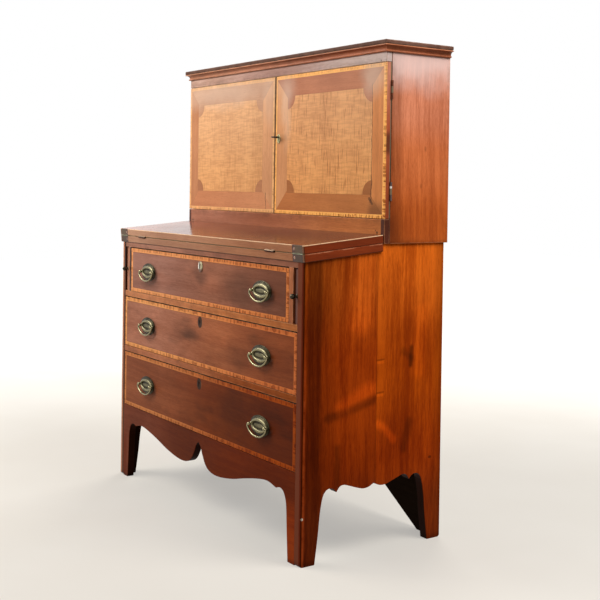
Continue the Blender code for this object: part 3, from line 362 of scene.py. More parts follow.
def drawer_front(number, tones, bands, seed, marks, gloss):
    """Figured mahogany in a crossbanded border. The marks are ovals: (x, z, half width, half height, factor)."""
    name = f"drawer_front_{number}"
    low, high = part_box(name)
    t = Tree("veneer_" + name)
    across, upright = t.inset(t.x, low.x, high.x), t.inset(t.z, low.z, high.z)
    # The field's tones and the band's run lighter and pinker to the left, and darker to the right and on the lower
    # drawers. This is partly the veneer's own tone, partly a painted reflection at the left and painted shade at the
    # right and below.
    field, height = wood(t, "x", seed, ("x", *tones), spread=0.24, broad=16.0, mottle=0.20)
    place, _ = fibres(t, "x", seed + 5)
    cloud = t.noise(t.times(place, (4.0, 4.0, 11.0)), 1.0, 3.0, 0.6)
    field = t.lit(field, t.step(cloud, 0.54, 0.70), 0.68)
    glow = t.noise(t.times(place, (7.0, 7.0, 12.0)), 1.3, 2.0, 0.5)
    field = t.lit(field, t.step(glow, 0.56, 0.70), 1.18)
    drift = t.drift(22.0, 2.0, 0.03)
    u, v = t.add(t.x, drift), t.add(t.z, drift)
    for x, z, half_width, half_height, factor in marks:
        field = t.lit(field, t.spot(u, v, (x, z), (half_width, half_height), 0.7), factor)
    for side in ("left", "right"):
        x, _, z = centre_of(f"handle_plate_{number}_{side}")
        # Painted shadow: each handle plate's cast shadow, a dark oval just below and to the right of it.
        grime_and_shadow = t.spot(t.x, t.z, (x + 0.006, z - 0.004), (0.047, 0.0275), 0.20)
        field = t.lit(field, grime_and_shadow, 0.42)

    width = 0.0113
    depth = t.add(0.36, t.mul(t.step(t.x, -0.40, 0.20), 0.20))
    colour = bordered(t, field, across, upright, width, seed + 1, t.ramp(t.x, *bands), depth, 0.0085)
    seam = t.span(t.least(across, upright), width - 0.0002, width + 0.0008, 0.0003)
    colour = t.over(colour, seam, 70, 30, 14, 0.55)
    if number > 1:
        keyhole_z = high.z - 0.0265
        # A dark oval round the keyhole, with a painted highlight on its right rim. The keyhole itself is painted dark,
        # as shade in the hole.
        keyhole_oval = t.spot(t.x, t.z, (0.0, keyhole_z), (0.0120, 0.0150), 0.07)
        painted_rim_highlight = t.mul(keyhole_oval, t.step(t.x, 0.0085, 0.0115))
        colour = t.over(colour, keyhole_oval, 58, 36, 26)
        colour = t.over(colour, painted_rim_highlight, 170, 120, 84, 0.5)
        colour = t.lit(colour, t.spot(t.x, t.z, (-0.002, keyhole_z), (0.0030, 0.0085), 0.2), 0.25)
    # Painted shade: a dark line along the top of the front, where the rail above shades the gap.
    shaded_top_edge = t.step(t.sub(high.z, t.z), 0.0014, 0.0004)
    colour = t.over(colour, shaded_top_edge, 36, 17, 9, 0.75)

    on_face = t.step(t.y, low.y + 0.0012, low.y + 0.0004)
    inside, _ = wood(t, "x", seed + 9, srgb(148, 100, 62))
    # Painted shade on the top of the front near its face, in the gap under the rail.
    shaded_top = t.mul(t.step(t.z, high.z - 0.0012, high.z - 0.0004), t.step(t.y, low.y + 0.019, low.y + 0.017))
    inside = t.over(inside, shaded_top, 34, 18, 10)
    colour = worn(t, t.mix(on_face, inside, colour), name, srgb(206, 134, 80), seed, 0.3, 0.0010, 0.12)
    paint(lacquer(t, colour, height, 0.36, seed, gloss, RED_GLOSS, 0.00008, 0.0007), name)


def door_front(side, seed, fields, rails, stile_out, stile_in, bands, marks, painted_glares):
    """A golden figured field with quartered corners, in mitred mahogany, in a crossbanded border."""
    name = f"door_{side}"
    low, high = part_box(name)
    sign = -1 if side == "left" else 1
    t = Tree("veneer_" + name)
    inner_x = high.x if sign < 0 else low.x
    from_out, from_in = t.away(t.x, sign * UPPER_HALF_WIDTH), t.away(t.x, inner_x)
    across, upright = t.least(from_out, from_in), t.inset(t.z, low.z, high.z)

    field, height = wood(t, "z", seed, ("z", *fields), 0.10, 14.0, 0.8, pores=0.1, mottle=0.12)
    place, _ = fibres(t, "z", seed + 3, 0.01)
    flecks = t.noise(t.times(place, (1.0, 1.0, 0.07)), 330.0, 2.0, 0.6)
    curl = t.noise(t.times(place, (0.13, 1.0, 1.0)), 210.0, 2.0, 0.5)
    broad_curl = t.noise(t.times(place, (0.25, 1.0, 1.0)), 42.0, 2.0, 0.5)
    field = t.deepen(field, t.step(flecks, 0.54, 0.70), 0.28 if sign < 0 else 0.52)
    field = t.deepen(t.scaled(field, 1.12), t.step(curl, 0.62, 0.38), 0.16)
    field = t.deepen(field, t.step(broad_curl, 0.65, 0.35), 0.09)

    rail_wood, _ = wood(t, "x", seed + 1, ("z", *rails), 0.14, 10.0)
    outer_wood, _ = wood(t, "z", seed + 2, stile_out, 0.16, 16.0)
    inner_wood, _ = wood(t, "z", seed + 6, stile_in, 0.12, 16.0)
    stiles = t.mix(t.math("LESS_THAN", from_out, from_in), inner_wood, outer_wood)
    frame_veneer = t.mix(t.step(t.sub(across, upright), -0.0006, 0.0006), stiles, rail_wood)

    outer, inner, above, radius = 0.052, 0.061, 0.0565, 0.035
    to_x = t.least(t.sub(from_out, outer), t.sub(from_in, inner))
    to_z = t.sub(upright, above)
    to_side, corner = t.least(to_x, to_z), t.length(to_x, to_z)
    in_field = t.step(to_side, -0.0002, 0.0002)
    quarter = t.mul(in_field, t.step(corner, radius + 0.0003, radius - 0.0003))
    fan = t.scaled(rail_wood, t.add(0.74, t.mul(t.step(t.z, low.z + 0.1, high.z - 0.1), 0.24)))
    colour = t.mix(quarter, t.mix(in_field, frame_veneer, field), fan)
    joint = t.mul(t.span(to_side, -0.0004, 0.0004, 0.0003), t.step(corner, radius - 0.001, radius + 0.001))
    mitre = t.mul(t.span(t.sub(across, upright), -0.0004, 0.0004, 0.0003), t.step(in_field, 0.5, 0.4))
    colour = t.over(colour, t.most(joint, mitre), 96, 44, 20, 0.35)
    colour = t.marked(colour, t.add(t.x, t.drift(60.0, 3.0, 0.010)), t.z, *marks)

    depth = t.mul(t.step(t.z, high.z + 0.30, low.z - 0.05), t.add(0.36, t.mul(t.step(t.x, -0.1, 0.46), 0.40)))
    colour = bordered(t, colour, across, upright, 0.0098, seed + 5, bands, depth, 0.0062)
    drift = t.drift(16.0, 3.0, 0.05)
    # Painted reflections: pale pinkish patches of glare on the polish.
    for place, radii, share in painted_glares:
        painted_glare = t.spot(t.add(t.x, drift), t.add(t.z, drift), place, radii, 0.8)
        colour = t.over(colour, t.mul(painted_glare, share), 222, 194, 172)
    # A dark band along the meeting edge, wider towards the top.
    least_band, band_growth = (0.0030, 0.0028) if sign > 0 else (0.0010, 0.0012)
    edge_darkening = t.add(least_band, t.mul(t.step(t.z, low.z, high.z), band_growth))
    meeting = t.step(t.sub(from_in, edge_darkening), 0.0006, -0.0006)
    colour = t.over(colour, meeting, 44, 20, 11, 0.9)

    on_face = t.step(t.y, low.y + 0.0022, low.y + 0.0012)
    carcase, _ = wood(t, "z", seed + 9, ("z", (0.82, 150, 72, 42), (1.00, 166, 84, 54), (1.15, 190, 128, 106)))
    stain = t.spot(t.z, t.y, (0.970, DOOR_FACE + 0.008), (0.026, 0.012), 0.4)
    carcase = t.lit(carcase, t.mul(stain, t.step(from_out, 0.004, 0.002)), 0.35)
    colour = worn(t, t.mix(on_face, carcase, colour), name, srgb(236, 184, 120), seed, 0.35, 0.0012, 0.12)
    from_pin = t.length(t.sub(t.away(t.x, 0.0), UPPER_HALF_WIDTH + 0.0015), t.sub(t.y, DOOR_FACE + 0.0163))
    metal = t.step(from_pin, 0.0037, 0.0035)
    colour = t.over(colour, metal, 110, 96, 76)
    paint(lacquer(t, colour, height, 0.40, seed, 0.2, WARM_GLOSS, 0.00006, 0.0008, Metallic=metal), name)


def chest_side(side, seed):
    """Two boards joined edge to edge, with the repairs and knots of an old carcase."""
    name = f"base_side_{side}"
    t = Tree("wood_" + name)
    back = t.sub(t.y, FRONT)
    drift = t.drift(18.0, 3.0, 0.016)
    u, v = t.add(back, drift), t.add(t.z, drift)
    front_tones = ("z", (0.10, 134, 52, 16), (0.22, 134, 48, 4), (0.46, 158, 62, 8), (0.66, 169, 80, 20))
    rear_tones = ("z", (0.08, 144, 58, 14), (0.22, 160, 60, 6), (0.42, 180, 77, 9), (0.66, 199, 94, 22))
    front, height = wood(t, "z", seed, front_tones, 0.32, 17.0, 1.5, mottle=0.4)
    rear, rear_height = wood(t, "z", seed + 1, rear_tones, 0.30, 14.0, 1.5, mottle=0.4)
    front = t.scaled(front, t.add(0.80, t.mul(t.step(u, 0.060, 0.120), 0.324)))
    front = t.lit(front, t.mul(t.step(u, 0.058, 0.046), t.step(u, 0.008, 0.014)), 0.60)
    front = t.marked(front, u, v,
                     ((0.112, 0.352), (0.195, 0.388), 0.003, 0.028, 1.62),
                     ((0.070, 0.330), (0.210, 0.362), 0.002, 0.016, 0.55),
                     ((0.100, 0.170), (0.102, 0.262), 0.002, 0.014, 0.60),
                     ((0.165, 0.560), (0.175, 0.690), 0.016, 0.040, 1.45))
    rear = t.marked(rear, u, v,
                    ((0.222, 0.304), (0.268, 0.262), 0.002, 0.014, 1.70),
                    ((0.296, 0.470), (0.322, 0.452), 0.002, 0.014, 0.66),
                    ((0.345, 0.420), (0.352, 0.560), 0.004, 0.030, 1.30),
                    ((0.302, 0.236), (0.318, 0.300), 0.002, 0.018, 0.62))
    rear = t.marked(rear, back, t.z, ((0.319, 0.436), (0.321, 0.478), 0.0010, 0.0100, 0.40))
    rear = t.lit(rear, t.spot(back, t.z, (0.385, 0.203), (0.0050, 0.0035), 0.5), 0.4)
    rear = t.lit(rear, t.step(u, 0.385, 0.402), 0.78)
    for z in (0.455, 0.377):
        rear = t.marked(rear, back, t.z,
                        ((0.216, z), (0.236, z + 0.001), 0.0008, 0.0020, 0.62),
                        ((0.218, z - 0.006), (0.232, z - 0.006), 0.0010, 0.0040, 1.35))
    wander = t.drift(30.0, 2.0, 0.003, t.vector(0.0, 0.0, t.z))
    behind = t.sub(t.add(back, wander), 0.214)
    on_rear = t.step(behind, -0.0004, 0.0004)
    colour = t.mix(on_rear, front, rear)
    joint = t.mul(t.span(behind, -0.0006, 0.0006, 0.0008), t.add(0.35, t.mul(t.step(t.z, 0.50, 0.38), 0.35)))
    colour = t.over(colour, joint, 58, 16, 2)
    colour = t.lit(colour, t.step(back, 0.408, 0.414), 0.75)

    # A pale line a few millimetres behind the front corner, low down: partly wear, partly a painted highlight along the
    # corner.
    rub_and_highlight = t.mul(t.span(back, 0.0035, 0.0085, 0.0020), t.step(t.z, 0.56, 0.36), t.step(blotches(t, seed), 0.30, 0.60))
    colour = t.over(colour, rub_and_highlight, 196, 84, 36, 0.60)
    width = t.away(t.x, 0.0)
    face = t.step(back, 0.0026, 0.0012)
    if side == "left":
        end = t.ramp(width, (0.4595, 84, 46, 30), (0.4625, 190, 128, 96))
        end = t.lit(end, t.mul(t.step(t.z, 0.60, 0.62), t.step(width, 0.4625, 0.4595)), 0.35)
    else:
        end = t.ramp(width, (0.4655, 122, 62, 40), (0.4690, 116, 44, 22))
    colour = t.mix(face, colour, end)
    if side == "right":
        nail = t.spot(back, t.z, (0.004, 0.110), (0.0026, 0.0030), 0.2)
        colour = t.over(colour, nail, 250, 236, 214)
    # Painted shade: the inner faces are made almost black, as the inside of the carcase is in shade.
    colour = t.lit(colour, t.mul(t.step(width, 0.4742, 0.4735), t.sub(1.0, face)), 0.08)
    colour = t.lit(colour, t.step(t.z, 0.016, 0.004), 0.7)
    paint(lacquer(t, colour, t.mix(on_rear, height, rear_height), 0.42, seed, 0.06, RED_GLOSS), name)


def apron(seed):
    """The front apron: redder to the right, lighter down the feet, its inner faces painted almost black as shade."""
    t = Tree("wood_front_apron")
    tones = ("x", (-0.35, 112, 56, 36), (-0.08, 96, 40, 15), (0.20, 104, 38, 6))
    colour, height = wood(t, "x", seed, tones, 0.26)
    low_down = t.step(t.z, 0.165, 0.090)
    colour = t.lit(colour, t.mul(low_down, t.step(t.x, 0.37, 0.42)), 2.0)
    colour = t.over(colour, t.mul(low_down, t.step(t.x, -0.42, -0.44)), 104, 36, 5, 0.8)
    colour = t.lit(colour, t.step(t.z, 0.012, 0.003), 0.6)
    # Painted shade: everything behind the front face is made almost black.
    colour = t.lit(colour, t.step(t.y, FRONT + 0.0008, FRONT + 0.0020), 0.16)
    paint(lacquer(t, colour, height, 0.42, seed, 0.05, RED_GLOSS), "front_apron")


def leaf(name, seed):
    """A leaf of the writing top: glossy face, duller edges, brass knuckles at the front."""
    t = Tree("wood_" + name)
    run, climb = math.cos(LEAF_SLOPE), math.sin(LEAF_SLOPE)
    forward, height_over = t.sub(t.y, FLAP_AXIS.y), t.sub(t.z, FLAP_AXIS.z)
    rise = t.sub(t.mul(height_over, run), t.mul(forward, climb))
    far = t.add(t.mul(forward, run), t.mul(height_over, climb))
    width = t.away(t.x, 0.0)
    on_top = t.step(rise, 0.0187, 0.0193)
    off_top = t.sub(1.0, on_top)
    edge, height = wood(t, "x", seed, ("x", (-0.35, 170, 126, 98), (0.30, 166, 110, 74)), 0.2, 9.0)
    top, _ = wood(t, "x", seed + 1, ("x", (-0.42, 150, 96, 76), (-0.20, 120, 70, 46), (0.25, 56, 10, 2)), 0.2, 9.0)
    top = t.lit(top, t.step(far, 0.045, 0.010), 1.5)
    colour = t.mix(on_top, edge, top)
    end = t.mul(t.step(width, 0.4788, 0.4795), off_top)
    end_wood, _ = wood(t, "y", seed + 2, srgb(122, 46, 16), 0.25)
    colour = t.mix(end, colour, end_wood)
    front = t.mul(t.step(far, 0.0024, 0.0014), off_top)
    colour = t.lit(colour, t.mul(front, t.step(width, 0.4732, 0.4738)), 0.40)
    colour = t.over(colour, t.mul(t.span(rise, -0.0014, 0.0014, 0.0004), front), 86, 84, 40, 0.65)
    # Painted shade along the bottom edge of the front and ends.
    colour = t.lit(colour, t.mul(t.step(rise, -0.0170, -0.0188), t.most(front, end)), 0.35)
    patchy = blotches(t, seed)
    # A pale line along the top's front and end arrises: partly wear, partly a painted highlight.
    near_edge = t.most(t.step(far, 0.0026, 0.0012), t.step(width, 0.4782, 0.4794))
    arris = t.mul(t.step(rise, 0.0170, 0.0186), near_edge, t.step(patchy, 0.26, 0.46))
    colour = t.over(colour, arris, 240, 200, 156, 0.85)
    under = t.mul(t.span(rise, -0.0030, -0.0012, 0.0006), end, t.step(patchy, 0.40, 0.60))
    colour = t.over(colour, under, 214, 146, 110, 0.6)
    hinge = t.mul(t.step(t.length(rise, far), 0.0035, 0.0033), t.span(width, 0.3160, 0.3580, 0.0004))
    # Painted light and shade on the knuckles: their upper half pale, their lower half dark.
    knuckle_light_and_shade = t.mix(t.step(rise, 0.0002, 0.0016), srgb(30, 22, 18), srgb(150, 132, 112))
    colour = t.mix(hinge, colour, knuckle_light_and_shade)
    rough = t.add(polish(t, 0.38, seed), t.mul(on_top, -0.25))
    normal = t.bump(height, 0.00008, t.rounded(0.0010))
    looks = {"Specular_IOR_Level": 0.32, "Specular_Tint": RED_GLOSS, "Metallic": t.mul(hinge, 0.5)}
    paint(t.finish(colour, rough, normal, **looks), name)


def loper(side, seed):
    """A loper: its end grain in a tone of its own, plain wood along its length. The right one's end is painted dark at
    both sides, as shade in its slot.
    """
    t = Tree("wood_loper_" + side)
    colour, height = wood(t, "y", seed, srgb(126, 72, 46))
    end = t.step(t.y, FRONT + 0.0062, FRONT + 0.0052)
    tones = srgb(176, 118, 90)
    if side == "right":
        # Painted shade: the right end darkens at both sides, where its slot shades it.
        tones = t.ramp(t.away(t.x, 0.0), (0.4366, 92, 48, 38), (0.4388, 122, 84, 72), (0.4440, 118, 78, 66),
                       (0.4466, 84, 42, 34))
    colour = t.mix(end, colour, tones)
    paint(lacquer(t, colour, height, 0.45, seed, 0.12, WHITE, 0.00008), "loper_" + side)


def upper_side(side, seed):
    """A side of the upper cabinet: paler and pinker towards the top, partly its own tone and partly a painted
    reflection, with a painted glare near the top front.
    """
    name = f"cabinet_side_{side}"
    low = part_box(name)[0]
    t = Tree("wood_" + name)
    tones = ("z", (0.780, 184, 90, 33), (0.940, 192, 106, 60), (1.060, 200, 126, 94), (1.165, 204, 144, 122))
    colour, height = wood(t, "z", seed, tones, 0.26, 26.0, 1.1, mottle=0.22)
    back = t.sub(t.y, FRONT)
    inward = t.sub(t.y, low.y)
    colour = t.lit(colour, t.step(inward, 0.046, 0.020), 0.76)
    colour = t.lit(colour, t.mul(t.step(inward, 0.070, 0.012), t.step(t.z, 0.86, 0.77)), 0.70)
    drift = t.drift(11.0, 4.0, 0.10)
    # Painted reflection: a pale pinkish glare over the top of the side, towards the front.
    painted_glare = t.mul(t.step(t.add(t.z, drift), 1.070, 1.175), t.step(t.add(inward, drift), 0.32, 0.14))
    colour = t.over(colour, painted_glare, 224, 196, 188, 0.72)
    for y, z in ((0.352, 0.960), (0.340, 0.870)):
        colour = t.lit(colour, t.spot(back, t.z, (y, z), (0.0035, 0.0060), 0.6), 0.72)
    colour = t.lit(colour, t.step(t.z, low.z + 0.010, low.z), 0.72)
    colour = worn(t, colour, name, srgb(206, 130, 84), seed, 0.4, grime_and_shadow=0.25)
    # Painted shade: the front edge, in the gap behind the door, is made dark.
    colour = t.over(colour, t.step(t.y, low.y + 0.0016, low.y + 0.0006), 84, 38, 25)
    paint(lacquer(t, colour, height, 0.36, seed, 0.15, WARM_GLOSS, bevel=0.0012), name)


# Metal and cloth

def brass(name, bright, dull, roughness, bevel=0.0, relief=None):
    """Old lacquer-less brass: bright where hands rub it and brown in its hollows."""
    t = Tree(name)
    patches = t.noise(t.place, 60.0, 4.0, 0.7)
    fine = t.noise(t.place, 900.0, 3.0, 0.7)
    share = t.step(t.add(t.mul(patches, 0.7), t.mul(fine, 0.3)), 0.38, 0.62)
    if relief:
        proud = t.step(t.sub(FRONT, t.y), *relief)
        share = t.add(t.mul(share, 0.16), t.mul(proud, 0.84))
    mixed = t.mix(share, dull, bright)
    rough = t.add(roughness - 0.05, t.mul(t.sub(1.0, share), 0.25), t.mul(fine, 0.1))
    normal = t.bump(fine, 0.00006, t.rounded(bevel) if bevel else None)
    return t.finish(mixed, rough, normal, Metallic=1.0)


def drawer_escutcheon(name):
    """The top drawer's plate: pale brass with a dark slot, darker along its top, with a painted highlight down its left
    side and painted shade over its lower part.
    """
    top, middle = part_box(name)[1].z, centre_of(name)[2]
    t = Tree("slotted_brass")
    patches = t.noise(t.place, 160.0, 3.0, 0.6)
    colour = t.mix(t.step(patches, 0.35, 0.65), srgb(150, 138, 104), srgb(176, 168, 136))
    # Painted highlight down the left side.
    colour = t.over(colour, t.step(t.x, -0.0035, -0.0055), 226, 218, 204)
    # Painted shade over the lower part.
    colour = t.over(colour, t.step(t.z, middle - 0.0040, middle - 0.0085), 112, 82, 66)
    colour = t.over(colour, t.step(t.z, top - 0.0040, top - 0.0020), 120, 96, 66)
    # The slot is painted dark, as shade in the keyhole.
    slot = t.spot(t.x, t.z, (-0.0016, middle + 0.0022), (0.0026, 0.0092), 0.10)
    colour = t.over(colour, slot, 18, 14, 8)
    metal = t.sub(0.6, t.mul(slot, 0.6))
    paint(t.finish(colour, 0.45, t.bump(t.sub(patches, slot), 0.0002), Metallic=metal), name)


def corner_plate(name):
    """A dark plate let into a leaf's corner, dirty round its screw and rubbed bright along the seam."""
    low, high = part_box(name)
    flap = name.startswith("writing")
    t = Tree("brass_" + name)
    patches = t.noise(t.place, 90.0, 4.0, 0.7)
    tone = srgb(84, 64, 45) if flap else srgb(70, 50, 38)
    colour = t.scaled(tone, t.add(0.8, t.mul(t.step(patches, 0.3, 0.7), 0.4)))
    colour = t.over(colour, t.step(t.away(t.x, 0.0), 0.4455, 0.4400), 78, 48, 42, 0.8)
    seam, inward = (low.z, 1) if flap else (high.z, -1)
    near_seam = t.step(t.z, seam + inward * 0.0014, seam + inward * 0.0004)
    colour = t.over(colour, near_seam, 160, 164, 132, 0.7)
    normal = t.bump(patches, 0.0002, t.rounded(0.0004))
    paint(t.finish(colour, t.add(0.38, t.mul(patches, 0.2)), normal, Metallic=0.55), name)


def silvered_hinge(name):
    """Its middle knuckles rubbed bright, the outer ones dark."""
    t = Tree("brass_" + name)
    patches = t.noise(t.place, 300.0, 3.0, 0.7)
    from_middle = t.away(t.z, centre_of(name)[2] + 0.003)
    bright = t.mul(t.step(from_middle, 0.0105, 0.0095), t.step(patches, 0.25, 0.40))
    colour = t.mix(bright, srgb(70, 46, 38), srgb(206, 200, 192))
    paint(t.finish(colour, 0.36, t.rounded(0.0004), Metallic=t.mul(bright, 0.9)), name)


def baize():
    """Green woollen cloth, its nap worn in patches."""
    t = Tree("green_baize")
    nap = t.noise(t.place, 900.0, 3.0, 0.7)
    shade = t.noise(t.place, 12.0, 4.0, 0.6)
    colour = t.mix(t.step(shade, 0.3, 0.7), srgb(38, 62, 40), srgb(64, 92, 58))
    colour = t.scaled(colour, t.add(0.75, t.mul(nap, 0.5)))
    return t.finish(colour, 0.95, t.bump(nap, 0.0003), Sheen_Weight=0.35, Sheen_Roughness=0.5)


chest_side("right", 11)
chest_side("left", 15)
drawer_front(1, ((-0.25, 150, 104, 88), (0.08, 146, 92, 68), (0.37, 116, 68, 48)),
             ((-0.30, 222, 146, 88), (0.35, 210, 122, 62)), 21,
             ((0.000, 0.622, 0.030, 0.018, 0.50), (0.035, 0.612, 0.060, 0.022, 1.34),
              (0.190, 0.600, 0.070, 0.045, 0.62)), 0.12)
drawer_front(2, ((-0.25, 162, 106, 82), (0.08, 155, 90, 56), (0.38, 136, 70, 36)),
             ((-0.30, 224, 150, 86), (0.35, 202, 110, 55)), 22,
             ((-0.052, 0.463, 0.042, 0.013, 0.48), (-0.100, 0.478, 0.050, 0.020, 0.80),
              (0.120, 0.480, 0.100, 0.030, 1.16), (0.190, 0.442, 0.060, 0.030, 0.74)), 0.09)
drawer_front(3, ((-0.25, 134, 74, 44), (0.08, 112, 50, 16), (0.38, 97, 38, 10)),
             ((-0.30, 196, 120, 66), (0.35, 160, 68, 10)), 23,
             ((-0.010, 0.345, 0.100, 0.028, 1.22), (0.160, 0.290, 0.080, 0.050, 0.72)), 0.05)
door_front("left", 31, ((0.85, 214, 158, 102), (1.10, 214, 164, 118)), ((0.84, 193, 130, 88), (1.12, 186, 140, 108)),
           srgb(180, 122, 82), srgb(204, 148, 104), srgb(224, 166, 108),
           (((-0.045, 0.845), (-0.041, 0.802), 0.0006, 0.0012, 0.3),),
           (((-0.30, 1.135), (0.24, 0.034), 0.42), ((-0.03, 1.10), (0.03, 0.06), 0.25)))
door_front("right", 32, ((0.85, 226, 160, 96), (1.10, 218, 160, 108)), ((0.84, 192, 120, 64), (1.12, 178, 112, 78)),
           srgb(212, 136, 76), srgb(208, 147, 98), srgb(252, 180, 94),
           (((0.427, 0.835), (0.427, 1.115), 0.0005, 0.0012, 0.40),
            ((0.420, 0.838), (0.431, 0.826), 0.0022, 0.0030, 0.35),
            ((0.4275, 0.832), (0.4270, 0.895), 0.0009, 0.0012, 0.30),
            ((0.440, 0.806), (0.470, 0.800), 0.008, 0.030, 0.55),
            ((0.036, 0.996), (0.050, 0.996), 0.003, 0.010, 0.80)),
           (((0.430, 1.135), (0.040, 0.040), 0.50), ((0.050, 1.125), (0.040, 0.035), 0.32),
            ((0.056, 1.06), (0.018, 0.07), 0.32)))
for side, seed in (("left", 41), ("right", 42)):
    upper_side(side, seed)
    loper(side, seed + 7)
apron(51)
leaf("lower_leaf", 55)
leaf("writing_flap", 56)

BACK_NAILS = [(x, z, 0.0024) for x in (-0.4600, 0.4600) for z in (0.262, 0.322, 0.416, 0.476, 0.568, 0.628)]
CABINET_NAILS = [(x, z, 0.0020) for x in (-0.39, -0.235, -0.08, 0.08, 0.235, 0.39) for z in (0.745, 0.960, 1.172)]
# Painted shade: the left partition goes dark over its right part, beside the top drawer.
board("loper_partition_left", "z", 46, ("x", (-0.4264, 188, 128, 98), (-0.4240, 60, 34, 24)), srgb(200, 140, 100),
      strength=0.2)
board("loper_partition_right", "z", 47, srgb(192, 118, 74), srgb(206, 146, 110), strength=0.3)
board("top_rail", "x", 52, ("x", (-0.3, 156, 106, 84), (0.3, 146, 90, 66)), srgb(190, 130, 96), strength=0.3)
board("drawer_divider_upper", "x", 53, ("x", (-0.3, 196, 128, 84), (0.3, 190, 114, 60)), srgb(214, 150, 100), gloss=0.1)
board("drawer_divider_lower", "x", 54, ("x", (-0.25, 196, 130, 94), (0.25, 162, 84, 30)), srgb(196, 124, 80),
      gloss=0.06)
board("cabinet_rail", "x", 57,
      ("x", (-0.4672, 84, 42, 30), (-0.4660, 166, 112, 88), (-0.38, 166, 112, 88), (0.02, 158, 95, 63),
       (0.34, 208, 130, 72), (0.4655, 202, 126, 68), (0.4668, 84, 38, 25)), srgb(196, 130, 90),
      nails=((0.452, 0.757, 0.0032), (0.446, 0.762, 0.0018), (0.085, 0.778, 0.0014), (-0.455, 0.757, 0.0030)))
board("frieze", "x", 58, ("x", (-0.40, 181, 148, 132), (0.02, 158, 122, 112), (0.42, 190, 174, 170)),
      srgb(206, 170, 150), nails=((0.458, 1.168, 0.0020), (0.461, 1.155, 0.0016), (-0.455, 1.163, 0.0020)))
board("cornice", "x", 59, ("x", (-0.42, 176, 122, 92), (0.42, 168, 98, 66)), srgb(214, 150, 112), bevel=0.0006,
      strength=0.5)
board("cabinet_top", "x", 60, srgb(96, 68, 58), srgb(150, 124, 108), 0.6, 0.12)
for name, seed in (("cabinet_bottom", 61), ("cabinet_shelf", 62)):
    board(name, "x", seed, srgb(156, 104, 66), srgb(190, 136, 92), 0.55, 0.12)
# Painted shade: the back's lower part is made near black.
board("base_back", "x", 63, ("z", (0.16, 40, 28, 18), (0.24, 120, 88, 56)), srgb(140, 108, 74), 0.8, 0.08,
      nails=BACK_NAILS, joints=("z", 0.292, 0.446, 0.598), contrast=1.2)
board("cabinet_back", "z", 64, srgb(142, 106, 68), srgb(170, 136, 96), 0.75, 0.1,
      nails=CABINET_NAILS, joints=("x", -0.312, -0.158, 0.002, 0.161, 0.307), contrast=1.2)
board("base_bottom", "x", 65, srgb(96, 68, 42), srgb(120, 90, 60), 0.8, 0.08, contrast=1.2)
for number in (1, 2, 3):
    board(f"drawer_box_{number}", "y", 70 + number, srgb(184, 144, 96), srgb(214, 178, 130), 0.65, 0.12)

OLD_BRASS = brass("old_brass", srgb(140, 132, 100), srgb(28, 23, 11), 0.22, relief=(0.0044, 0.0074))
PALE_BRASS = brass("pale_brass", srgb(176, 166, 124), srgb(112, 102, 70), 0.34, 0.0004)
DARK_BRASS = brass("dark_brass", srgb(112, 66, 46), srgb(60, 36, 28), 0.50, 0.0004)
# Painted shade: a near-black brass for the loper knobs, standing for the shade they are seen in.
SHADED_BRASS = brass("shaded_brass", srgb(84, 74, 58), srgb(34, 28, 22), 0.24)
SCREW_BRASS = brass("screw_brass", srgb(186, 148, 128), srgb(120, 88, 74), 0.36)
IRON = brass("dark_iron", srgb(72, 66, 60), srgb(24, 20, 18), 0.32)
FITTINGS = {"knob": SHADED_BRASS, "handle": OLD_BRASS, "door_escutcheon": PALE_BRASS, "hinge": DARK_BRASS,
            "door_key": IRON, "door_lock": IRON, "lining": baize()}
for name in NODES:
    if name == "drawer_escutcheon":
        drawer_escutcheon(name)
    elif name == "door_hinge_right_lower":
        silvered_hinge(name)
    elif "corner_plate" in name:
        corner_plate(name)
    else:
        for word, material in FITTINGS.items():
            if word in name:
                paint(material, name)


# Fine fittings, in mesh code

def place_object(name, data):
    """A new object in the scene."""
    made = bpy.data.objects.new(name, data)
    bpy.context.scene.collection.objects.link(made)
    return made


def add_mesh(name, vertices, faces, material, body, sharp, stands_for=()):
    """A smooth-shaded brass piece in the frame's own coordinates, riding on a CAD body."""
    mesh = bpy.data.meshes.new(name)
    mesh.from_pydata(vertices, [], faces)
    form = bmesh.new()
    form.from_mesh(mesh)
    bmesh.ops.recalc_face_normals(form, faces=form.faces)
    form.to_mesh(mesh)
    form.free()
    mesh.polygons.foreach_set("use_smooth", [True] * len(mesh.polygons))
    mesh.set_sharp_from_angle(angle=math.radians(sharp))
    mesh.materials.append(material)
    piece = place_object(name, mesh)
    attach(piece, body)
    if stands_for:
        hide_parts(*stands_for)


def joined(*forms):
    """Several (vertices, faces) forms as one."""
    vertices, faces = [], []
    for more, shapes in forms:
        start = len(vertices)
        vertices += more
        faces += [tuple(start + index for index in face) for face in shapes]
    return vertices, faces


def circle(sides):
    """Angles round a circle."""
    return [2 * math.pi * i / sides for i in range(sides)]


def lofted(rings):
    """Joins rings of equal point counts in order, with a face over each end."""
    count = len(rings[0])
    vertices = [tuple(point) for ring in rings for point in ring]
    faces = []
    for start in range(0, len(vertices) - count, count):
        for i in range(count):
            j = (i + 1) % count
            faces.append((start + i, start + j, start + count + j, start + count + i))
    faces.append(tuple(range(count)))
    faces.append(tuple(range(len(vertices) - count, len(vertices))))
    return vertices, faces


def turned(profile, foot, axis, sides=24):
    """Revolves (radius, distance) pairs round an axis through the foot."""
    turn = Vector((0, 0, 1)).rotation_difference(Vector(axis)).to_matrix()
    rings = []
    for radius, distance in profile:
        points = [Vector((radius * math.cos(a), radius * math.sin(a), distance)) for a in circle(sides)]
        rings.append([Vector(foot) + turn @ point for point in points])
    return lofted(rings)


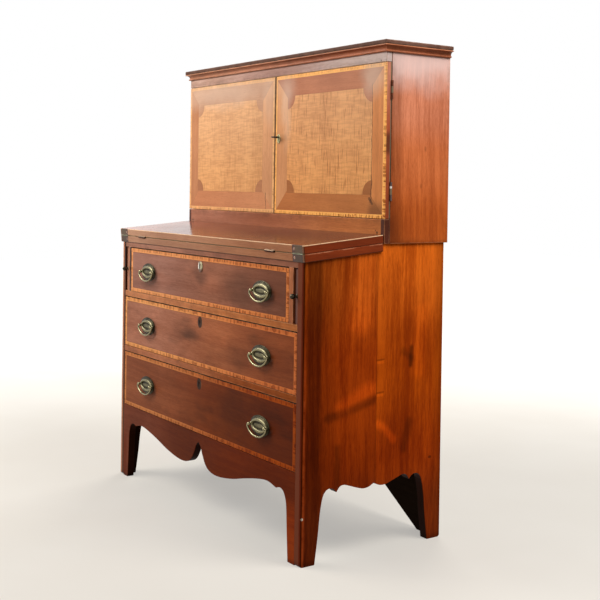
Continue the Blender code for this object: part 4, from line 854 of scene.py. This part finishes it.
def ball(radius, middle, start, end, steps):
    """(radius, distance) pairs of a slice of a ball, for turned."""
    angles = [math.radians(start + (end - start) * i / steps) for i in range(steps + 1)]
    return [(max(radius * math.cos(a), 0.00003), middle + radius * math.sin(a)) for a in angles]


def eased(knots, steps):
    """Points along (place, height) knots, rising and falling softly between them."""
    points = []
    for (a, low), (b, high) in zip(knots, knots[1:]):
        for i in range(steps):
            share = i / steps
            points.append((a + (b - a) * share, low + (high - low) * (1 - math.cos(math.pi * share)) / 2))
    return points + [knots[-1]]


def through(points, steps):
    """A smooth line through the points."""
    line = []
    for i in range(len(points) - 1):
        a, b = points[max(i - 1, 0)], points[i]
        c, d = points[i + 1], points[min(i + 2, len(points) - 1)]
        for step in range(steps):
            t = step / steps
            line.append(tuple(
                0.5 * (2 * q + (r - p) * t + (2 * p - 5 * q + 4 * r - s) * t * t + (3 * q - p - 3 * r + s) * t ** 3)
                for p, q, r, s in zip(a, b, c, d)))
    return line + [tuple(points[-1])]


def tube(points, radii, side, sides=16):
    """A round bar along points that lie in the plane normal to side."""
    side = Vector(side)
    points = [Vector(point) for point in points]
    last = len(points) - 1
    rings = []
    for i, point in enumerate(points):
        across = (points[min(i + 1, last)] - points[max(i - 1, 0)]).cross(side).normalized()
        rings.append([point + radii[i] * (math.cos(a) * across + math.sin(a) * side) for a in circle(sides)])
    return lofted(rings)


def oval(x, face, z, half_width, half_height, profile, sides=72):
    """A moulded oval plate on a plane that faces -Y. The profile is (inset from the edge, rise)."""
    rings = []
    for inset, rise in profile:
        wide, tall = half_width - inset, half_height - inset
        rings.append([(x + wide * math.cos(a), face - rise, z + tall * math.sin(a)) for a in circle(sides)])
    return lofted(rings)


PLATE_HALF_WIDTH, PLATE_HALF_HEIGHT = 0.0420, 0.0246
PLATE_PROFILE = [(0.0, 0.0), (0.0, 0.0006)] + eased([
    (0.0003, 0.0008), (0.0015, 0.0014), (0.0030, 0.0014), (0.0062, 0.0045), (0.0092, 0.0064), (0.0115, 0.0070),
    (0.0132, 0.0065), (0.0152, 0.0045), (0.0166, 0.0040), (0.0188, 0.0042), (0.0206, 0.0051), (0.0222, 0.0055),
    (0.0240, 0.0056)], 4)
POST_SPREAD = 0.0340
POST_PROFILE = [(0.0044, 0.0), (0.0044, 0.0058), (0.0038, 0.0064), (0.0028, 0.0066), (0.0024, 0.0070)]
POST_PROFILE += ball(0.0043, 0.0104, -50, 84, 12)
BAIL_LINE = ((0.0389, 0.0), (0.0402, -0.0008), (0.0408, -0.0030), (0.0403, -0.0065), (0.0360, -0.0117),
             (0.0295, -0.0170), (0.0163, -0.0230), (0.0, -0.0250))
BAIL_PIN = ((0.0330, 0.0), (0.0375, 0.0))
KNOB_PROFILE = [(0.0054, 0.0), (0.0054, 0.0008), (0.0047, 0.0014), (0.0032, 0.0017), (0.0027, 0.0026), (0.0029, 0.0060)]
KNOB_RADIUS = 0.0064
SCREW_X, SCREW_RADIUS = 0.4393, 0.0034
PIVOT = FRONT - 0.0110
AHEAD = (0, -1, 0)


def make_handle(number, side):
    """A moulded oval plate with ball-headed posts, and the bail that hangs between them."""
    label = f"{number}_{side}"
    x, _, z = centre_of(f"handle_plate_{label}")
    face = FRONT - 0.0003
    forms = [oval(x, face, z, PLATE_HALF_WIDTH, PLATE_HALF_HEIGHT, PLATE_PROFILE)]
    for sign in (-1, 1):
        forms.append(turned(POST_PROFILE, (x + sign * POST_SPREAD, face, z), AHEAD))
    add_mesh("plate_" + label, *joined(*forms), OLD_BRASS, f"drawer_{number}", 50, [f"handle_plate_{label}"])
    half = through(BAIL_LINE, 7)
    line = [*BAIL_PIN, *half, *((-a, b) for a, b in reversed(half[:-1])), *((-a, b) for a, b in reversed(BAIL_PIN))]
    radii = []
    for across, up in line:
        share = min(1.0, max(0.0, -up / 0.0060))
        radii.append(0.0016 + 0.0007 * share + 0.0003 * max(0.0, 1 - abs(across) / 0.022) * share)
    bail = tube([(x + across, PIVOT, z + up) for across, up in line], radii, (0, 1, 0))
    add_mesh("bail_" + label, *bail, OLD_BRASS, f"bail_{label}", 50, [f"handle_bail_{label}"])


def make_loper_knob(side):
    """A small turned brass knob on its rose."""
    low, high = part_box(f"loper_knob_{side}")
    x, _, z = centre_of(f"loper_knob_{side}")
    profile = KNOB_PROFILE + ball(KNOB_RADIUS, high.y - low.y - KNOB_RADIUS, -66, 86, 14)
    knob = turned(profile, (x, high.y, z), AHEAD, 32)
    add_mesh(f"loper_pull_{side}", *knob, SHADED_BRASS, f"loper_{side}", 50, [f"loper_knob_{side}"])


def screw(centre, axis, radius, turn, sides=24):
    """A slotted countersunk head, its face just proud of what it holds."""
    centre, axis = Vector(centre), Vector(axis).normalized()
    across = (Matrix.Rotation(turn, 3, axis) @ Vector((0, 0, 1)).cross(axis)).normalized()
    along = axis.cross(across)
    slot, depth = radius * 0.16, radius * 0.3
    limit = math.acos(slot / radius)
    vertices, faces = [], []
    for sign in (-1, 1):
        rim = []
        for i in range(sides // 2 + 1):
            a = -limit + 2 * limit * i / (sides // 2)
            rim.append(sign * radius * math.cos(a) * along + radius * math.sin(a) * across)
        start, count = len(vertices), len(rim)
        for scale, lift in ((1, 0), (1, 0.03), (0.94, 0.06)):
            vertices += [tuple(centre + (point * scale + axis * radius * lift)) for point in rim]
        for row in (start, start + count):
            for i in range(count):
                j = (i + 1) % count
                faces.append((row + i, row + j, row + count + j, row + count + i))
        faces.append(tuple(range(start + 2 * count, start + 3 * count)))
    start = len(vertices)
    for a, b in ((-1, -1), (1, -1), (1, 1), (-1, 1)):
        vertices.append(tuple(centre - axis * depth * 0.05 + (a * along * slot * 1.1) + (b * across * radius * 0.97)))
    faces.append(tuple(range(start, start + 4)))
    return vertices, faces


def make_plate_screw(leaf_name, side, turn):
    """The screw at the inner end of a corner plate."""
    plate = f"{leaf_name}_corner_plate_{side}"
    x, _, z = centre_of(plate)
    place = (math.copysign(SCREW_X, x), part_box(plate)[0].y + 0.0009, z)
    head = screw(place, (0, -math.cos(LEAF_SLOPE), -math.sin(LEAF_SLOPE)), SCREW_RADIUS, turn)
    body = "flap" if leaf_name == "writing_flap" else "case"
    add_mesh(f"{leaf_name}_screw_{side}", *head, SCREW_BRASS, body, 30)


for number in (1, 2, 3):
    for side in ("left", "right"):
        make_handle(number, side)
for side in ("left", "right"):
    make_loper_knob(side)
    for leaf_name, turn in (("lower_leaf", 0.5), ("writing_flap", 1.9)):
        make_plate_screw(leaf_name, side, turn)


# Floor, light and camera

FLOOR_HALF = 9.0
FLOOR_GLOW = 0.55          # how much of the floor's paleness is there without any lamp


def make_floor():
    corners = [(x * FLOOR_HALF, y * FLOOR_HALF, 0) for x, y in ((-1, -1), (1, -1), (1, 1), (-1, 1))]
    mesh = bpy.data.meshes.new("floor")
    mesh.from_pydata(corners, [], [(0, 1, 2, 3)])
    floor = place_object("floor", mesh)
    t = Tree("pale_floor")
    cloud = t.noise(t.place, 1.5, 3.0)
    colour = t.mix(t.step(cloud, 0.3, 0.7), srgb(228, 224, 218), srgb(234, 231, 226))
    glow = t.mul(t.seen(), t.add(FLOOR_GLOW, t.mul(t.step(t.length(t.x, t.y), 0.7, 3.2), 0.75)))
    looks = {"Specular_IOR_Level": 0.1, "Emission_Color": colour, "Emission_Strength": glow}
    mesh.materials.append(t.finish(srgb(150, 144, 134), 0.8, **looks))


def lamp(name, place, target, size, power, tint=(1.0, 1.0, 1.0)):
    light = bpy.data.lights.new(name, "AREA")
    light.shape = "SQUARE"
    light.size = size
    light.energy = power
    light.color = tint
    made = place_object(name, light)
    made.location = place
    made.rotation_euler = (Vector(target) - Vector(place)).to_track_quat("-Z", "Y").to_euler()


def make_world(ambient):
    """White to the camera and in reflections, softer as a lamp."""
    t = Tree("studio", bpy.data.worlds, "Background", "OutputWorld")
    t.feed(t.shader.inputs["Color"], WHITE)
    t.feed(t.shader.inputs["Strength"], t.add(ambient, t.mul(t.seen(), 1 - ambient)))
    bpy.context.scene.world = t.owner


def make_camera():
    """The camera fitted to the photo, from its turn, tilt and roll in radians."""
    yaw, pitch, roll = 0.9677, -0.0138, 0.0145
    ahead = Vector((-math.sin(yaw) * math.cos(pitch), math.cos(yaw) * math.cos(pitch), math.sin(pitch)))
    level = Vector((math.cos(yaw), math.sin(yaw), 0.0))
    above = level.cross(ahead)
    right = math.cos(roll) * level + math.sin(roll) * above
    up = -math.sin(roll) * level + math.cos(roll) * above
    lens = bpy.data.cameras.new("photo_camera")
    lens.sensor_width = 36.0
    lens.lens = 63.955
    lens.shift_x = 0.00197
    lens.shift_y = -0.16582
    camera = place_object("photo_camera", lens)
    turned_to = Matrix((right, up, -ahead)).transposed().to_4x4()
    turned_to.translation = Vector((2.44478, FRONT - 1.37412, 0.86638))
    camera.matrix_world = turned_to
    bpy.context.scene.camera = camera


make_floor()
make_world(0.14)
MIDDLE = (0.1, 0, 0.7)      # where the front lamps point
lamp("key", (-1.3, -1.3, 1.9), MIDDLE, 1.2, 34, (1.0, 0.985, 0.96))
lamp("front", (-0.8, -2.0, 2.4), MIDDLE, 1.2, 28)
lamp("side", (1.6, 0.8, 2.4), MIDDLE, 1.2, 34)
lamp("side_near", (1.2, 0.2, 2.3), MIDDLE, 1.0, 18)
lamp("back", (-1.7, 1.9, 2.3), (0.0, 0, 0.7), 1.6, 55)
make_camera()
bpy.context.scene.view_settings.view_transform = "Standard"
